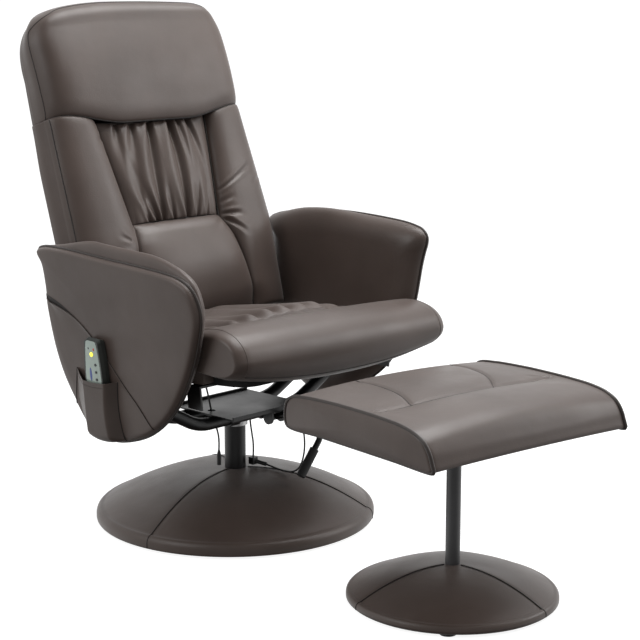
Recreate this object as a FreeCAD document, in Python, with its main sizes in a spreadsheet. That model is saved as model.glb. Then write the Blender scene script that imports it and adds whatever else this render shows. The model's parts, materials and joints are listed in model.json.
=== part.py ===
import FreeCAD, Part
import math
import os
import Sketcher
from FreeCAD import Placement, Rotation, Vector

# Massage recliner on a round swivel base, with a handset in a side pocket and a matching footstool.
# Millimetres, +Z up, +X to the right of the front view, the sitter faces -Y.
# The origin is on the floor, on the swivel axis.

SIZES = (
    ("overrun", 5.0, "how far a cutting solid passes the faces that it cuts"),
    ("soft_gap", 0.3, "gap between soft pieces that meet"),
    ("weld_gap", 0.05, "gap round a tube that is welded or glued in its hole"),
    ("running_gap", 0.06, "radial gap of a pin or shaft that turns"),
    # Round base of the chair
    ("base_radius", 275.0, "outer radius of the covered base"),
    ("base_rim_height", 14.0, "height of the upright rim of the base"),
    ("base_shoulder_radius", 262.0, "radius where the dome starts"),
    ("base_shoulder_height", 29.0, "height where the dome starts"),
    ("base_crown_height", 98.0, "height of the dome at the column"),
    ("base_crown_radius", 470.0, "radius of the arc that the dome is turned from"),
    ("base_cover_wall", 3.0, "padded cover over the dome"),
    ("base_pan_wall", 2.0, "pressed steel of the dome"),
    ("base_board_thickness", 12.0, "board under the dome"),
    ("glide_height", 4.0, "floor glide"),
    ("glide_radius", 14.0, "floor glide"),
    ("glide_circle", 225.0, "radius of the ring of glides"),
    ("flange_radius", 70.0, "foot flange of the column"),
    ("flange_thickness", 5.0, "foot flange of the column"),
    ("bolt_circle", 54.0, "radius of the ring of foot bolts"),
    ("bolt_radius", 4.0, "shank of every bolt"),
    ("bolt_head_radius", 6.5, "head of every bolt"),
    ("bolt_head_height", 5.3, "head of every bolt"),
    ("bolt_gap", 0.25, "radial gap round a bolt"),
    # Column and swivel
    ("column_radius", 21.0, "outside of the column"),
    ("column_wall", 2.5, "wall of the column"),
    ("column_top", 183.0, "height of the column's top"),
    ("bush_wall", 3.4, "nylon bush of the swivel"),
    ("bush_length", 32.0, "nylon bush of the swivel"),
    ("spindle_length", 120.0, "part of the spindle that stands in the column"),
    ("washer_thickness", 3.0, "thrust washer on the column"),
    ("hub_radius", 25.0, "hub between the spindle and the plate"),
    # Seat carrier under the seat
    ("bow_radius", 12.5, "outside of the bow tubes"),
    ("bow_wall", 1.8, "wall of the bow tubes"),
    ("bow_height", 212.0, "centre of the bows over the floor, in the middle"),
    ("bow_spread", 38.0, "distance of each bow from the swivel axis"),
    ("bow_flat", 130.0, "half the level middle stretch of a bow"),
    ("bow_end_drop", 36.0, "centre of the bows at the arms, below the underside of the seat"),
    ("bow_bend_radius", 110.0, "bend of the bows"),
    ("plate_thickness", 3.5, "plate on the bows"),
    ("plate_half_width", 96.0, "plate on the bows, to each side"),
    ("plate_front", 100.0, "reach of the plate to the front"),
    ("plate_rear", 69.0, "reach of the plate to the rear"),
    ("plate_lip", 8.0, "upturned edges of the plate"),
    ("saddle_wall", 3.0, "strap of a bow saddle"),
    ("saddle_width", 24.0, "strap of a bow saddle"),
    ("saddle_ear", 14.0, "ear of a bow saddle"),
    ("saddle_place", 44.0, "distance of the saddles from the middle"),
    ("cable_hole_radius", 8.0, "cable hole in the plate"),
    # Arms
    ("arm_inner_face", 259.0, "inner face of an arm, at the height of the lean axis"),
    ("arm_thickness", 49.0, "whole arm"),
    ("arm_outer_thickness", 17.0, "outer half of the arm"),
    ("arm_board_thickness", 12.0, "board inside the arm"),
    ("arm_length", 446.0, "front to rear"),
    ("arm_height", 353.0, "lowest to highest point"),
    ("arm_rear", 207.0, "rear tip behind the swivel axis"),
    ("arm_roll", 24.0, "how far the roll of the inner pad stands above the outer panel"),
    ("arm_drop", 114.5, "lowest point below the underside of the seat"),
    ("arm_tilt", 5.0, "outward lean in degrees"),
    ("arm_tilt_rise", 67.0, "axis of the lean above the underside of the seat"),
    ("bow_flange_radius", 27.0, "round flange that joins a bow to an arm"),
    ("bow_flange_thickness", 5.0, "round flange that joins a bow to an arm"),
    ("arm_bolt_spacing", 38.0, "distance of the two bolts of a flange"),
    # Seat
    ("seat_height", 318.0, "underside of the seat over the swivel axis"),
    ("seat_tilt", 5.0, "rise towards the front in degrees"),
    ("seat_half_width", 249.0, "cushion between the arms"),
    ("seat_rear", 88.0, "rear end behind the swivel axis"),
    ("seat_front", 323.0, "front of the bolster ahead of the swivel axis"),
    ("bolster_half_width", 276.0, "front roll, ahead of the arms"),
    ("bolster_depth", 78.0, "front roll, front to rear"),
    ("bolster_thickness", 100.0, "front roll, bottom to top"),
    ("seat_board_half_width", 226.0, "board under the cushion"),
    ("seat_board_front", 278.0, "board under the cushion, ahead of the axis"),
    ("seat_board_rear", 82.0, "board under the cushion, behind the axis"),
    ("seat_board_thickness", 15.0, "board under the cushion"),
    ("seat_board_corner", 30.0, "corner radius of the seat board"),
    ("motor_radius", 19.0, "vibration motor"),
    ("motor_height", 20.0, "vibration motor"),
    ("motor_gap", 0.5, "room round a vibration motor"),
    ("seat_motor_spread", 105.0, "distance of the seat motors from the middle"),
    ("seat_motor_front", 92.0, "distance of the seat motors ahead of the axis"),
    ("bracket_thickness", 4.0, "steel of the seat and hinge brackets"),
    ("seat_bracket_width", 36.0, "bracket between the seat and an arm"),
    ("seat_bracket_reach", 64.0, "leg of that bracket under the seat"),
    ("seat_bracket_drop", 44.0, "leg of that bracket on the arm"),
    ("seat_bracket_front", 165.0, "front brackets ahead of the axis"),
    ("seat_bracket_rear", 90.0, "rear brackets ahead of the axis"),
    # Reclining back
    ("hinge_rear", 114.0, "hinge axis of the back, behind the swivel axis"),
    ("hinge_rise", 47.0, "hinge axis of the back, above the underside of the seat"),
    ("back_tilt", 20.3, "lean of the back at rest in degrees"),
    ("back_foot", 32.0, "lower end of the back cushion above the hinge"),
    ("back_seam", 430.0, "seam under the headrest, above the hinge"),
    ("back_top", 664.0, "top of the back above the hinge"),
    ("back_front_plane", 25.0, "flat middle of the cushion, ahead of the hinge"),
    ("back_rear_plane", 30.0, "rear of the cushion, behind the hinge"),
    ("back_bolster", 24.0, "how far the side rolls stand ahead of the middle"),
    ("back_half_width", 252.0, "side of the back at the seam"),
    ("back_belly", 10.0, "how much wider the back is at the waist"),
    ("back_foot_draw", 8.0, "how much narrower the back is at its foot"),
    ("headrest_depth", 36.0, "how far the headrest stands ahead of the flat middle"),
    ("panel_half_width", 140.0, "gathered panel at its top"),
    ("panel_foot_half_width", 116.0, "gathered panel at its foot"),
    ("panel_depth", 13.0, "gathered panel"),
    ("lumbar_top", 222.0, "top of the lumbar pad above the hinge"),
    ("lumbar_top_half_width", 114.0, "lumbar pad at its top"),
    ("lumbar_foot_half_width", 146.0, "lumbar pad at its foot"),
    ("lumbar_depth", 44.0, "lumbar pad, at its fullest"),
    ("back_board_half_width", 212.0, "board inside the back"),
    ("back_board_foot", 20.0, "lower edge of that board above the hinge"),
    ("back_board_top", 626.0, "upper edge of that board above the hinge"),
    ("back_board_thickness", 12.0, "board inside the back"),
    ("back_board_corner", 60.0, "corner radius of that board"),
    ("back_panel_depth", 27.0, "rear panel with its returned edge"),
    ("back_motor_spread", 62.0, "distance of the back motors from the middle"),
    ("hinge_pin_radius", 5.0, "hinge pin"),
    ("hinge_ear_radius", 14.0, "ear round the hinge pin"),
    ("hinge_place", 200.0, "distance of the hinge ears from the middle"),
    ("hinge_side_gap", 0.6, "gap between the two ears of a hinge"),
    # Recline lever
    ("lever_axis_front", 88.0, "lever axis ahead of the swivel axis"),
    ("lever_axis_height", 211.0, "lever axis over the floor"),
    ("lever_out", 60.0, "how far the handle stands to the right of the bracket"),
    ("lever_reach", 68.0, "how far the handle stands ahead of the lever axis"),
    ("lever_drop", 107.0, "how far the tip hangs below the lever axis"),
    ("lever_radius", 6.0, "lever rod"),
    ("lever_grip_radius", 9.0, "sleeve on the lever"),
    ("lever_grip_length", 58.0, "sleeve on the lever"),
    ("lever_shaft_length", 38.0, "cross shaft of the lever"),
    ("lever_place", 24.0, "middle of the cross shaft, to the right"),
    ("lever_ear_thickness", 5.0, "ear of the lever bracket"),
    ("lever_bend_radius", 18.0, "bend of the lever"),
    # Handset and its pocket
    ("pocket_width", 96.0, "pocket on the left arm"),
    ("pocket_rise", 24.5, "bottom of the pocket above the lowest point of the arm"),
    ("pocket_height", 106.0, "pocket from its bottom to its mouth"),
    ("pocket_middle", 42.0, "middle of the pocket behind the axis"),
    ("pocket_depth", 23.0, "how far the pocket stands off the arm"),
    ("pocket_wall", 2.4, "wall of the pocket"),
    ("pocket_round", 4.0, "rounding of the pocket's edges"),
    ("handset_length", 176.0, "handset"),
    ("handset_foot_width", 53.0, "handset at its foot"),
    ("handset_thickness", 17.0, "handset"),
    ("handset_wall", 2.0, "moulded shells of the handset"),
    ("handset_middle", 32.0, "middle of the handset behind the axis"),
    ("face_thickness", 1.0, "front plate of the handset"),
    ("face_margin", 4.0, "rim of the shell round the front plate"),
    ("circuit_thickness", 1.6, "circuit board"),
    ("circuit_margin", 7.0, "rim round the circuit board"),
    ("button_radius", 2.6, "zone buttons"),
    ("power_radius", 4.2, "power button"),
    ("button_proud", 1.3, "how far the buttons stand out"),
    ("button_gap", 0.2, "gap round the buttons"),
    ("button_stem", 3.2, "part of a button inside the handset"),
    ("power_drop", 29.0, "power button below the head of the handset"),
    ("zone_drop", 48.0, "first zone button below the head of the handset"),
    ("zone_pitch", 14.0, "distance between the zone buttons"),
    ("zone_offset", 9.0, "zone buttons, to the front of the middle"),
    # Footstool
    ("stool_front", 611.0, "stool axis ahead of the swivel axis"),
    ("stool_left", 62.0, "stool axis left of the swivel axis"),
    ("stool_angle", -7.5, "turn of the stool in degrees"),
    ("stool_radius", 183.0, "outer radius of the stool's base"),
    ("stool_rim_height", 10.0, "height of the upright rim"),
    ("stool_shoulder_radius", 174.0, "radius where the dome starts"),
    ("stool_shoulder_height", 19.0, "height where the dome starts"),
    ("stool_crown_height", 62.0, "height of the dome at the column"),
    ("stool_crown_radius", 420.0, "radius of the arc that the dome is turned from"),
    ("stool_glide_circle", 166.0, "radius of the ring of glides"),
    ("stool_column_radius", 12.7, "outside of the stool's column"),
    ("stool_column_wall", 1.8, "wall of the stool's column"),
    ("stool_pad_bottom", 304.0, "underside of the pad over the floor"),
    ("stool_pad_width", 440.0, "pad, side to side"),
    ("stool_pad_depth", 373.0, "pad, front to rear"),
    ("stool_pad_thickness", 58.0, "pad at the corners of its ends"),
    ("stool_pad_crown", 12.0, "how far the pad rises in its middle"),
    ("stool_board_width", 400.0, "board under the pad"),
    ("stool_board_depth", 325.0, "board under the pad"),
    ("stool_board_thickness", 12.0, "board under the pad"),
    ("stool_plate_size", 120.0, "square plate on the stool's column"),
    ("stool_plate_thickness", 4.0, "square plate on the stool's column"),
    # Leads
    ("lead_radius", 1.75, "thin lead"),
    ("plug_radius", 4.2, "barrel plug on the hanging lead"),
    ("plug_length", 31.0, "barrel plug on the hanging lead"),
    ("socket_size", 13.0, "inline socket"),
    ("socket_height", 14.0, "inline socket"),
    ("socket_barrel_radius", 3.8, "barrel on the inline socket"),
)

# Arm outline from the rear tip along the top and round: end and middle of each arc, as shares of
# arm_length (to the front) and arm_height (up).
ARM_OUTLINE_SHARES = (
    ((0.352, 0.994), (0.706, 0.973)),
    ((0.881, 0.9547), (0.961, 0.9065)),
    ((0.9966, 0.8286), (0.999, 0.7635)),
    ((0.919, 0.4717), (0.71, 0.1453)),
    ((0.6106, 0.0734), (0.464, 0.0085)),
    ((0.336, 0.0028), (0.253, 0.0518)),
    ((0.1135, 0.3028), (0.046, 0.6473)),
    ((0.0426, 0.8144), (0.0045, 0.979)),
)
ARM_MIDDLE_SHARE = (0.45, 0.6)
# Inner pad of an arm from its face to the piping: place, size of the outline, and rise of the top roll.
ARM_INNER_SHARES = ((0.0, 0.9, 0.5), (0.3, 0.972, 1.0), (0.7, 0.995, 0.8), (1.0, 1.0, 0.0))
ARM_OUTER_SHARES = ((0.0, 0.955), (0.35, 0.99), (1.0, 1.0))
ARM_BOARD_SHARE = 0.86

# Side outlines of the seat and the stool pad: from the rear (0) to the front (1), and up.
SEAT_OUTLINE_SHARES = (
    ((1.0, 0.0),),
    ((1.0, 0.93),),
    ((0.5, 0.96), (0.03, 0.78)),
    ((0.0, 0.4), (0.03, 0.0)),
)
BOLSTER_OUTLINE_SHARES = (
    ((0.0, 0.95),),
    ((0.36, 1.0), (0.72, 0.9)),
    ((1.0, 0.55), (0.8, 0.16)),
    ((0.66, 0.04), (0.44, 0.0)),
    ((0.0, 0.0),),
)
STOOL_OUTLINE_SHARES = (
    ((1.0, 0.0),),
    ((1.0, 0.25),),
    ((0.965, 0.62), (0.86, 0.8)),
    ((0.5, 1.0), (0.14, 0.8)),
    ((0.035, 0.62), (0.0, 0.25)),
    ((0.0, 0.0),),
)
PROFILE_MIDDLE_SHARE = (0.5, 0.5)
# Crown across a cushion: size of its outline from the end to the middle, at the places below.
CROWN_PLACE_SHARES = (1.0, 0.67, 0.33, 0.0)
SEAT_CROWN_SHARES = (0.94, 0.973, 0.993, 1.0)
BOLSTER_CROWN_SHARES = (0.88, 0.946, 0.987, 1.0)
STOOL_CROWN_SHARES = (0.97, 0.987, 0.997, 1.0)

# The back, from foot to seam: height, width, and fullness of the side rolls.
BACK_ROLL_SHARES = ((0.0, 0.0, 0.62), (0.45, 1.0, 1.0), (0.75, 0.75, 0.95), (1.0, 0.35, 0.7))
BACK_SIDE_SHARE = 0.025
# Headrest from seam to top: height, width and depth.
HEADREST_SHARES = (
    (0.0, 1.0, 0.76),
    (0.3, 1.0, 1.0),
    (0.68, 0.985, 0.95),
    (0.9, 0.93, 0.7),
    (1.0, 0.82, 0.36),
)
HEADREST_CORNER_SHARE = 0.05
HEADREST_CROWN_SHARE = 0.14
# Lumbar pad from foot to top: height and depth.
LUMBAR_SHARES = ((0.0, 0.35), (0.12, 0.72), (0.5, 1.0), (0.86, 0.8), (1.0, 0.4))
LUMBAR_EDGE_SHARE = 0.45
PLEAT_VALLEY_SHARE = 0.5
# Right half of the rear panel from its foot to its top: across and up, with the middle of each arc.
PANEL_OUTLINE_SHARES = (
    ((1.01, 0.4), (0.985, 0.7)),
    ((0.98, 0.86), (0.95, 0.925)),
    ((0.92, 0.975), (0.78, 1.0)),
)
PANEL_FOOT_SHARE = 0.955
PANEL_EDGE_SHARES = ((0.0, 1.0), (0.6, 0.985), (1.0, 0.94))
PANEL_MIDDLE_SHARE = (0.0, 0.5)
# Handset outline, right half from foot to head: across and up, with the middle of each arc.
HANDSET_OUTLINE_SHARES = (
    ((1.0, 0.3), (0.98, 0.5)),
    ((0.9, 0.78), (0.76, 0.95)),
    ((0.68, 0.99), (0.5, 1.0)),
)
HANDSET_FOOT_SHARE = 0.86

ROOM_SHARE = 0.45
VOLUME_SHARE = 0.01
HALF_SHARE = 0.5
UPRIGHT_SHARE = 0.9
PIN_HEAD_SHARE = 1.6
PLUG_TAPER_SHARE = 0.35

GLIDE_COUNT = 6
STOOL_GLIDE_COUNT = 4
FOOT_BOLT_COUNT = 4
PLEAT_COUNT = 7
ZONE_COUNT = 3
BACK_MOTOR_SHARES = (0.2, 0.52, 0.84)

# Routes of the free leads, from their upper end down.
HANGING_ROUTE = (
    (-90.0, 1.5, 317.4),
    (-82.0, -4.0, 286.0),
    (-77.0, -9.5, 254.0),
    (-73.0, -13.0, 222.0),
    (-66.0, -19.0, 194.0),
    (-62.5, -22.5, 170.0),
    (-63.0, -21.5, 150.0),
)
SUPPLY_ROUTE = (
    (20.6, -20.6, 224.5),
    (20.6, -20.8, 196.0),
    (22.6, -24.0, 168.0),
    (25.0, -27.0, 142.0),
    (24.0, -26.0, 118.0),
)
HANDLE_ROUTE = (
    (37.0, -51.0, 104.8),
    (41.5, -68.0, 100.6),
    (46.5, -92.0, 97.0),
    (50.5, -112.0, 98.5),
    (57.0, -124.0, 109.0),
    (67.0, -125.0, 131.0),
    (78.0, -117.0, 158.0),
    (86.0, -102.0, 186.0),
    (89.0, -91.0, 207.0),
    (90.0, -89.0, 224.5),
)
# The lever from its axis to its tip: to the right, to the front and up, as shares of lever_out,
# lever_reach and lever_drop.
LEVER_ROUTE_SHARES = (
    (0.0, 0.0, 0.0),
    (0.12, 0.6, 0.11),
    (1.0, 1.0, 0.03),
    (0.87, 1.03, -0.4),
    (0.13, 0.94, -1.0),
)


class Size:
    """A number with the spreadsheet expression that gives it."""

    def __init__(self, value, text):
        self.value = value
        self.text = text

    def joined(self, sign, other, value):
        return Size(value, "(%s %s %s)" % (self.text, sign, getattr(other, "text", other)))

    def __add__(self, other):
        return self.joined("+", other, self.value + float(other))

    def __sub__(self, other):
        return self.joined("-", other, self.value - float(other))

    def __mul__(self, share):
        return self.joined("*", share, self.value * float(share))

    def __truediv__(self, count):
        return self.joined("/", count, self.value / float(count))

    def __neg__(self):
        return Size(-self.value, "(-1 * %s)" % self.text)

    def __float__(self):
        return float(self.value)


class Sizes:
    """The driving sizes, each an attribute bound to a cell of the sheet."""

    def __init__(self, document):
        sheet = document.addObject("Spreadsheet::Sheet", "Sizes")
        for row, (name, value, meaning) in enumerate(SIZES, start=1):
            sheet.set("A%d" % row, name)
            sheet.set("B%d" % row, str(value))
            sheet.set("C%d" % row, meaning)
            sheet.setAlias("B%d" % row, name)
            setattr(self, name, Size(value, "Sizes." + name))
        document.recompute()


doc = FreeCAD.newDocument("massage_recliner")
size = Sizes(doc)
ZERO = Size(0.0, "0")
nodes = []


# Helpers

def node(made, label):
    """Gives an object the name of its sub-part and lists it for the export."""
    made.Label = label
    nodes.append(made)
    return made


def bind(made, **sizes):
    for name, value in sizes.items():
        made.setExpression(name, value.text)
    return made


def at(made, place, rotation=None):
    made.Placement = Placement(Vector(*[float(value) for value in place]), rotation or Rotation())
    return made


def cylinder(radius, height, place, rotation=None):
    made = doc.addObject("Part::Cylinder", "cylinder")
    return at(bind(made, Radius=radius, Height=height), place, rotation)


def box(length, width, height, place):
    made = doc.addObject("Part::Box", "block")
    return at(bind(made, Length=length, Width=width, Height=height), place)


def cut(base, tool):
    made = doc.addObject("Part::Cut", "cut")
    made.Base = base
    made.Tool = tool
    return made


def group(pieces, kind="Part::Compound"):
    made = doc.addObject(kind, "group")
    if kind == "Part::Compound":
        made.Links = pieces
    else:
        made.Shapes = pieces
    return made


def ring(outer, inner, height, place):
    """A tube or washer that stands on its place."""
    below = (place[0], place[1], place[2] - size.overrun)
    return cut(cylinder(outer, height, place), cylinder(inner, height + size.overrun * 2, below))


def circle_places(count, radius, height, turn=0.0):
    """Evenly spaced places on a circle round the Z axis."""
    steps = [math.tau * (step + turn) / count for step in range(count)]
    return [(radius * math.cos(step), radius * math.sin(step), height) for step in steps]


def plane_of(body, role):
    return [plane for plane in body.Origin.OriginFeatures if plane.Role == role][0]


def profile(body, role, corners, bulges):
    """A closed sketch through the corners; bulges gives radius and side of an edge that is an arc."""
    sketch = body.newObject("Sketcher::SketchObject", "profile")
    sketch.AttachmentSupport = [(plane_of(body, role), "")]
    sketch.MapMode = "FlatFace"
    points = [Vector(float(across), float(up), 0) for across, up in corners]
    ends = []
    for index, point in enumerate(points):
        following = points[(index + 1) % len(points)]
        radius, side = bulges.get(index, (None, 1))
        ends.append((1, 2) if side > 0 else (2, 1))
        if radius is None:
            sketch.addGeometry(Part.LineSegment(point, following))
        else:
            sketch.addGeometry(arc_of(point, following, float(radius), side))
    bind_profile(sketch, corners, ends, bulges)
    return sketch


def arc_of(point, following, radius, side):
    """An arc that bulges to the right of the way from one point to the next, or to the left for side -1."""
    chord = following - point
    reach = math.sqrt(radius ** 2 - (chord.Length / 2) ** 2)
    across = Vector(-chord.y, chord.x, 0).normalize() * side
    centre = (point + following) / 2 + across * reach
    first, last = (point - centre, following - centre)[::side]
    round_edge = Part.Circle(centre, Vector(0, 0, 1), radius)
    return Part.ArcOfCircle(round_edge, math.atan2(first.y, first.x), math.atan2(last.y, last.x))


def bind_profile(sketch, corners, ends, bulges):
    """Joins the edges of a profile and ties every corner and radius to the sheet."""
    count = len(corners)
    for index in range(count):
        following = (index + 1) % count
        sketch.addConstraint(
            Sketcher.Constraint("Coincident", index, ends[index][1], following, ends[following][0]))
    for index, (across, up) in enumerate(corners):
        for kind, value in (("DistanceX", across), ("DistanceY", up)):
            made = sketch.addConstraint(
                Sketcher.Constraint(kind, -1, 1, index, ends[index][0], float(value)))
            sketch.setExpression("Constraints[%d]" % made, value.text)
    for index, (radius, _) in bulges.items():
        made = sketch.addConstraint(Sketcher.Constraint("Radius", index, float(radius)))
        sketch.setExpression("Constraints[%d]" % made, radius.text)


def turned(label, corners, bulges):
    """A body turned about the Z axis from a profile in the XZ plane."""
    body = doc.addObject("PartDesign::Body", label)
    sketch = profile(body, "XZ_Plane", corners, bulges)
    made = body.newObject("PartDesign::Revolution", "turned")
    made.Profile = sketch
    made.ReferenceAxis = (sketch, ["V_Axis"])
    made.Angle = 360.0
    return node(body, label)


def padded(label, role, corners, length, midplane=True):
    """A body padded from a profile."""
    body = doc.addObject("PartDesign::Body", label)
    made = body.newObject("PartDesign::Pad", "padded")
    made.Profile = profile(body, role, corners, {})
    made.Midplane = midplane
    bind(made, Length=length)
    return body


def shape_node(label, shape, placement=None):
    """A sub-part whose shape is worked out here."""
    made = doc.addObject("Part::Feature", label)
    made.Shape = shape
    made.Placement = placement or Placement()
    return node(made, label)


def arc_wire(points):
    """A closed wire: each entry is an end point, or a middle point and an end point for an arc."""
    start = points[-1][-1]
    edges = []
    for entry in points:
        if len(entry) == 1:
            edges.append(Part.LineSegment(start, entry[0]).toShape())
        else:
            edges.append(Part.Arc(start, entry[0], entry[1]).toShape())
        start = entry[-1]
    return Part.Wire(edges)


def crowned(shares):
    """Places across a cushion, from end to end, with the size of the outline at each."""
    half = list(zip(CROWN_PLACE_SHARES, shares))
    return [(-place, share) for place, share in half] + half[-2::-1]


def loft(wires, ruled=False):
    return Part.makeLoft(wires, True, ruled)


def rounded_path(points, radius=None):
    """Straight runs joined by tangent arcs; with no radius each arc is as large as its runs allow."""
    edges = []
    radii = []
    start = points[0]
    for before, corner, after in zip(points, points[1:], points[2:]):
        back = (before - corner).normalize()
        ahead = (after - corner).normalize()
        half_turn = (math.pi - back.getAngle(ahead)) / 2
        room = min((before - corner).Length, (after - corner).Length)
        bend = radius or ROOM_SHARE * room / math.tan(half_turn)
        tangent = bend * math.tan(half_turn)
        enter = corner + back * tangent
        leave = corner + ahead * tangent
        centre_way = (back + ahead).normalize()
        middle = corner + centre_way * (bend / math.cos(half_turn) - bend)
        edges.append(Part.LineSegment(start, enter).toShape())
        edges.append(Part.Arc(enter, middle, leave).toShape())
        radii.append(bend)
        start = leave
    edges.append(Part.LineSegment(start, points[-1]).toShape())
    return Part.Wire(edges), radii


def swept(path, radius):
    """A round bar along a path."""
    first = path.Edges[0]
    way = first.tangentAt(first.FirstParameter)
    start = first.valueAt(first.FirstParameter)
    circle = Part.Wire(Part.Circle(start, way, float(radius)).toShape())
    return path.makePipeShell([circle], True, True)


def vectors(points):
    return [Vector(*point) for point in points]


def checked_lead(label, points):
    """A free lead: a tube along its route, with its volume compared and its radii printed."""
    path, radii = rounded_path(vectors(points))
    shape = swept(path, size.lead_radius)
    expected = math.pi * float(size.lead_radius) ** 2 * path.Length
    if abs(shape.Volume / expected - 1) > VOLUME_SHARE:
        raise RuntimeError("%s is not a whole tube" % label)
    print(label, "length", round(path.Length, 1), "radii", [round(value, 1) for value in radii])
    return shape_node(label, shape)


# Round bases

def dome(prefix, parts, column_radius):
    """The pressed pan and the padded cover of a round base, turned from the same curves."""
    value = {name: getattr(size, prefix + "_" + name) for name in (
        "radius", "rim_height", "shoulder_radius", "shoulder_height", "crown_height", "crown_radius")}

    def curve(inset):
        return (
            (column_radius + size.weld_gap, value["crown_height"] - inset),
            (value["shoulder_radius"] - inset, value["shoulder_height"] - inset),
            (value["radius"] - inset, value["rim_height"] - inset),
        )

    pan_inset = size.base_cover_wall
    inside = pan_inset + size.base_pan_wall
    for label, outer, inner in ((parts[0], pan_inset, inside), (parts[1], ZERO, pan_inset)):
        top, shoulder, rim = curve(outer)
        low_top, low_shoulder, low_rim = curve(inner)
        foot = size.glide_height
        corners = (low_top, low_shoulder, low_rim, (low_rim[0], foot), (rim[0], foot), rim, shoulder, top)
        crown = value["crown_radius"]
        turned(label, corners, {0: (crown - inner, -1), 6: (crown - outer, 1)})


def glides(label, count, circle, turn=0.0):
    places = circle_places(count, float(circle), 0.0, turn)
    pieces = [cylinder(size.glide_radius, size.glide_height, place) for place in places]
    return node(group(pieces), label)


def chair_base():
    glides("base_glides", GLIDE_COUNT, size.glide_circle)
    board_radius = size.base_shoulder_radius - size.base_cover_wall - size.base_pan_wall - size.soft_gap
    board_top = size.glide_height + size.base_board_thickness
    flange_top = board_top + size.flange_thickness
    hole_radius = size.bolt_radius + size.bolt_gap
    places = circle_places(FOOT_BOLT_COUNT, float(size.bolt_circle), 0.0, 0.5)
    holes = [cylinder(hole_radius, flange_top + size.overrun, place) for place in places]
    board = cylinder(board_radius, size.base_board_thickness, (0, 0, size.glide_height))
    node(cut(board, group(holes, "Part::MultiFuse")), "base_board")
    dome("base", ("base_pan", "base_cover"), size.column_radius)
    tube_height = size.column_top - board_top
    inner = size.column_radius - size.column_wall
    node(ring(size.column_radius, inner, tube_height, (ZERO, ZERO, board_top)), "column_tube")
    flange = ring(size.flange_radius, size.column_radius + size.weld_gap, size.flange_thickness,
                  (ZERO, ZERO, board_top))
    more_holes = [cylinder(hole_radius, flange_top + size.overrun, place) for place in places]
    node(cut(flange, group(more_holes, "Part::MultiFuse")), "column_flange")
    bolts = []
    for across, along, _ in places:
        foot = (across, along, size.glide_height)
        shank = cylinder(size.bolt_radius, flange_top - size.glide_height, foot)
        head = cylinder(size.bolt_head_radius, size.bolt_head_height, (across, along, flange_top))
        bolts.append(group([shank, head], "Part::MultiFuse"))
    node(group(bolts), "base_bolts")
    bush_outer = inner - size.weld_gap
    bush_inner = inner - size.bush_wall
    upper = size.column_top - size.bush_length
    lower = size.column_top + size.washer_thickness - size.spindle_length
    bushes = [ring(bush_outer, bush_inner, size.bush_length, (ZERO, ZERO, foot)) for foot in (upper, lower)]
    node(group(bushes), "swivel_bushes")
    node(ring(size.column_radius, bush_inner, size.washer_thickness, (ZERO, ZERO, size.column_top)),
         "thrust_washer")
    return bush_inner


# Seat carrier

def plate_underside():
    return size.bow_height + size.bow_radius + size.weld_gap


def carrier(bush_inner):
    plate_bottom = plate_underside()
    hub_foot = size.column_top + size.washer_thickness
    shaft_foot = (0, 0, hub_foot - size.spindle_length)
    shaft = cylinder(bush_inner - size.running_gap, size.spindle_length, shaft_foot)
    hub = cylinder(size.hub_radius, plate_bottom - hub_foot, (0, 0, hub_foot))
    node(group([shaft, hub], "Part::MultiFuse"), "swivel_spindle")
    wall = size.plate_thickness
    corners = (
        (-size.plate_front, plate_bottom),
        (size.plate_rear, plate_bottom),
        (size.plate_rear, plate_bottom + size.plate_lip),
        (size.plate_rear - wall, plate_bottom + size.plate_lip),
        (size.plate_rear - wall, plate_bottom + wall),
        (-size.plate_front + wall, plate_bottom + wall),
        (-size.plate_front + wall, plate_bottom + size.plate_lip),
        (-size.plate_front, plate_bottom + size.plate_lip),
    )
    body = padded("plate_body", "YZ_Plane", corners, size.plate_half_width * 2)
    across, along, _ = min(HANGING_ROUTE, key=lambda point: abs(point[2] - float(plate_bottom)))
    hole_foot = (across, along, plate_bottom - size.overrun)
    hole = cylinder(size.cable_hole_radius, size.plate_thickness + size.overrun * 2, hole_foot)
    node(cut(body, hole), "mechanism_plate")
    for label, side in (("front_bow", -1), ("rear_bow", 1)):
        bow(label, side)
    saddles()


def arm_foot():
    return size.seat_height - size.arm_drop


def arm_tilt_height():
    return float(size.seat_height + size.arm_tilt_rise)


def lean_placement(side):
    """Turns what is drawn upright on an arm outwards about the arm's lean axis."""
    pivot = Vector(side * float(size.arm_inner_face), 0, arm_tilt_height())
    return Placement(Vector(), Rotation(Vector(0, 1, 0), side * float(size.arm_tilt)), pivot)


def arm_space(side, inset):
    """A large block that fills the arm's side of its inner face, moved in by inset."""
    reach = float(size.arm_length) * 2
    block = Part.makeBox(reach, reach * 2, reach * 2, Vector(0, -reach, -reach))
    if side < 0:
        block = block.mirror(Vector(), Vector(1, 0, 0))
    block.translate(Vector(side * (float(size.arm_inner_face) - inset), 0, arm_tilt_height()))
    block.Placement = lean_placement(side).multiply(block.Placement)
    return block


def bow_end_height():
    return float(size.seat_height - size.bow_end_drop)


def bow(label, side):
    """A bent tube from arm to arm, level in its middle."""
    along = side * float(size.bow_spread)
    reach = float(size.arm_inner_face)
    slope = (bow_end_height() - float(size.bow_height)) / (reach - float(size.bow_flat))
    far = reach + float(size.arm_thickness)
    far_height = bow_end_height() + slope * (far - reach)
    points = [
        Vector(-far, along, far_height),
        Vector(-float(size.bow_flat), along, float(size.bow_height)),
        Vector(float(size.bow_flat), along, float(size.bow_height)),
        Vector(far, along, far_height),
    ]
    path, _ = rounded_path(points, float(size.bow_bend_radius))
    tube = swept(path, size.bow_radius).cut(swept(path, size.bow_radius - size.bow_wall))
    for arm_side in (-1, 1):
        tube = tube.cut(arm_space(arm_side, float(size.bow_flange_thickness)))
    shape_node(label, tube)


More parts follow.
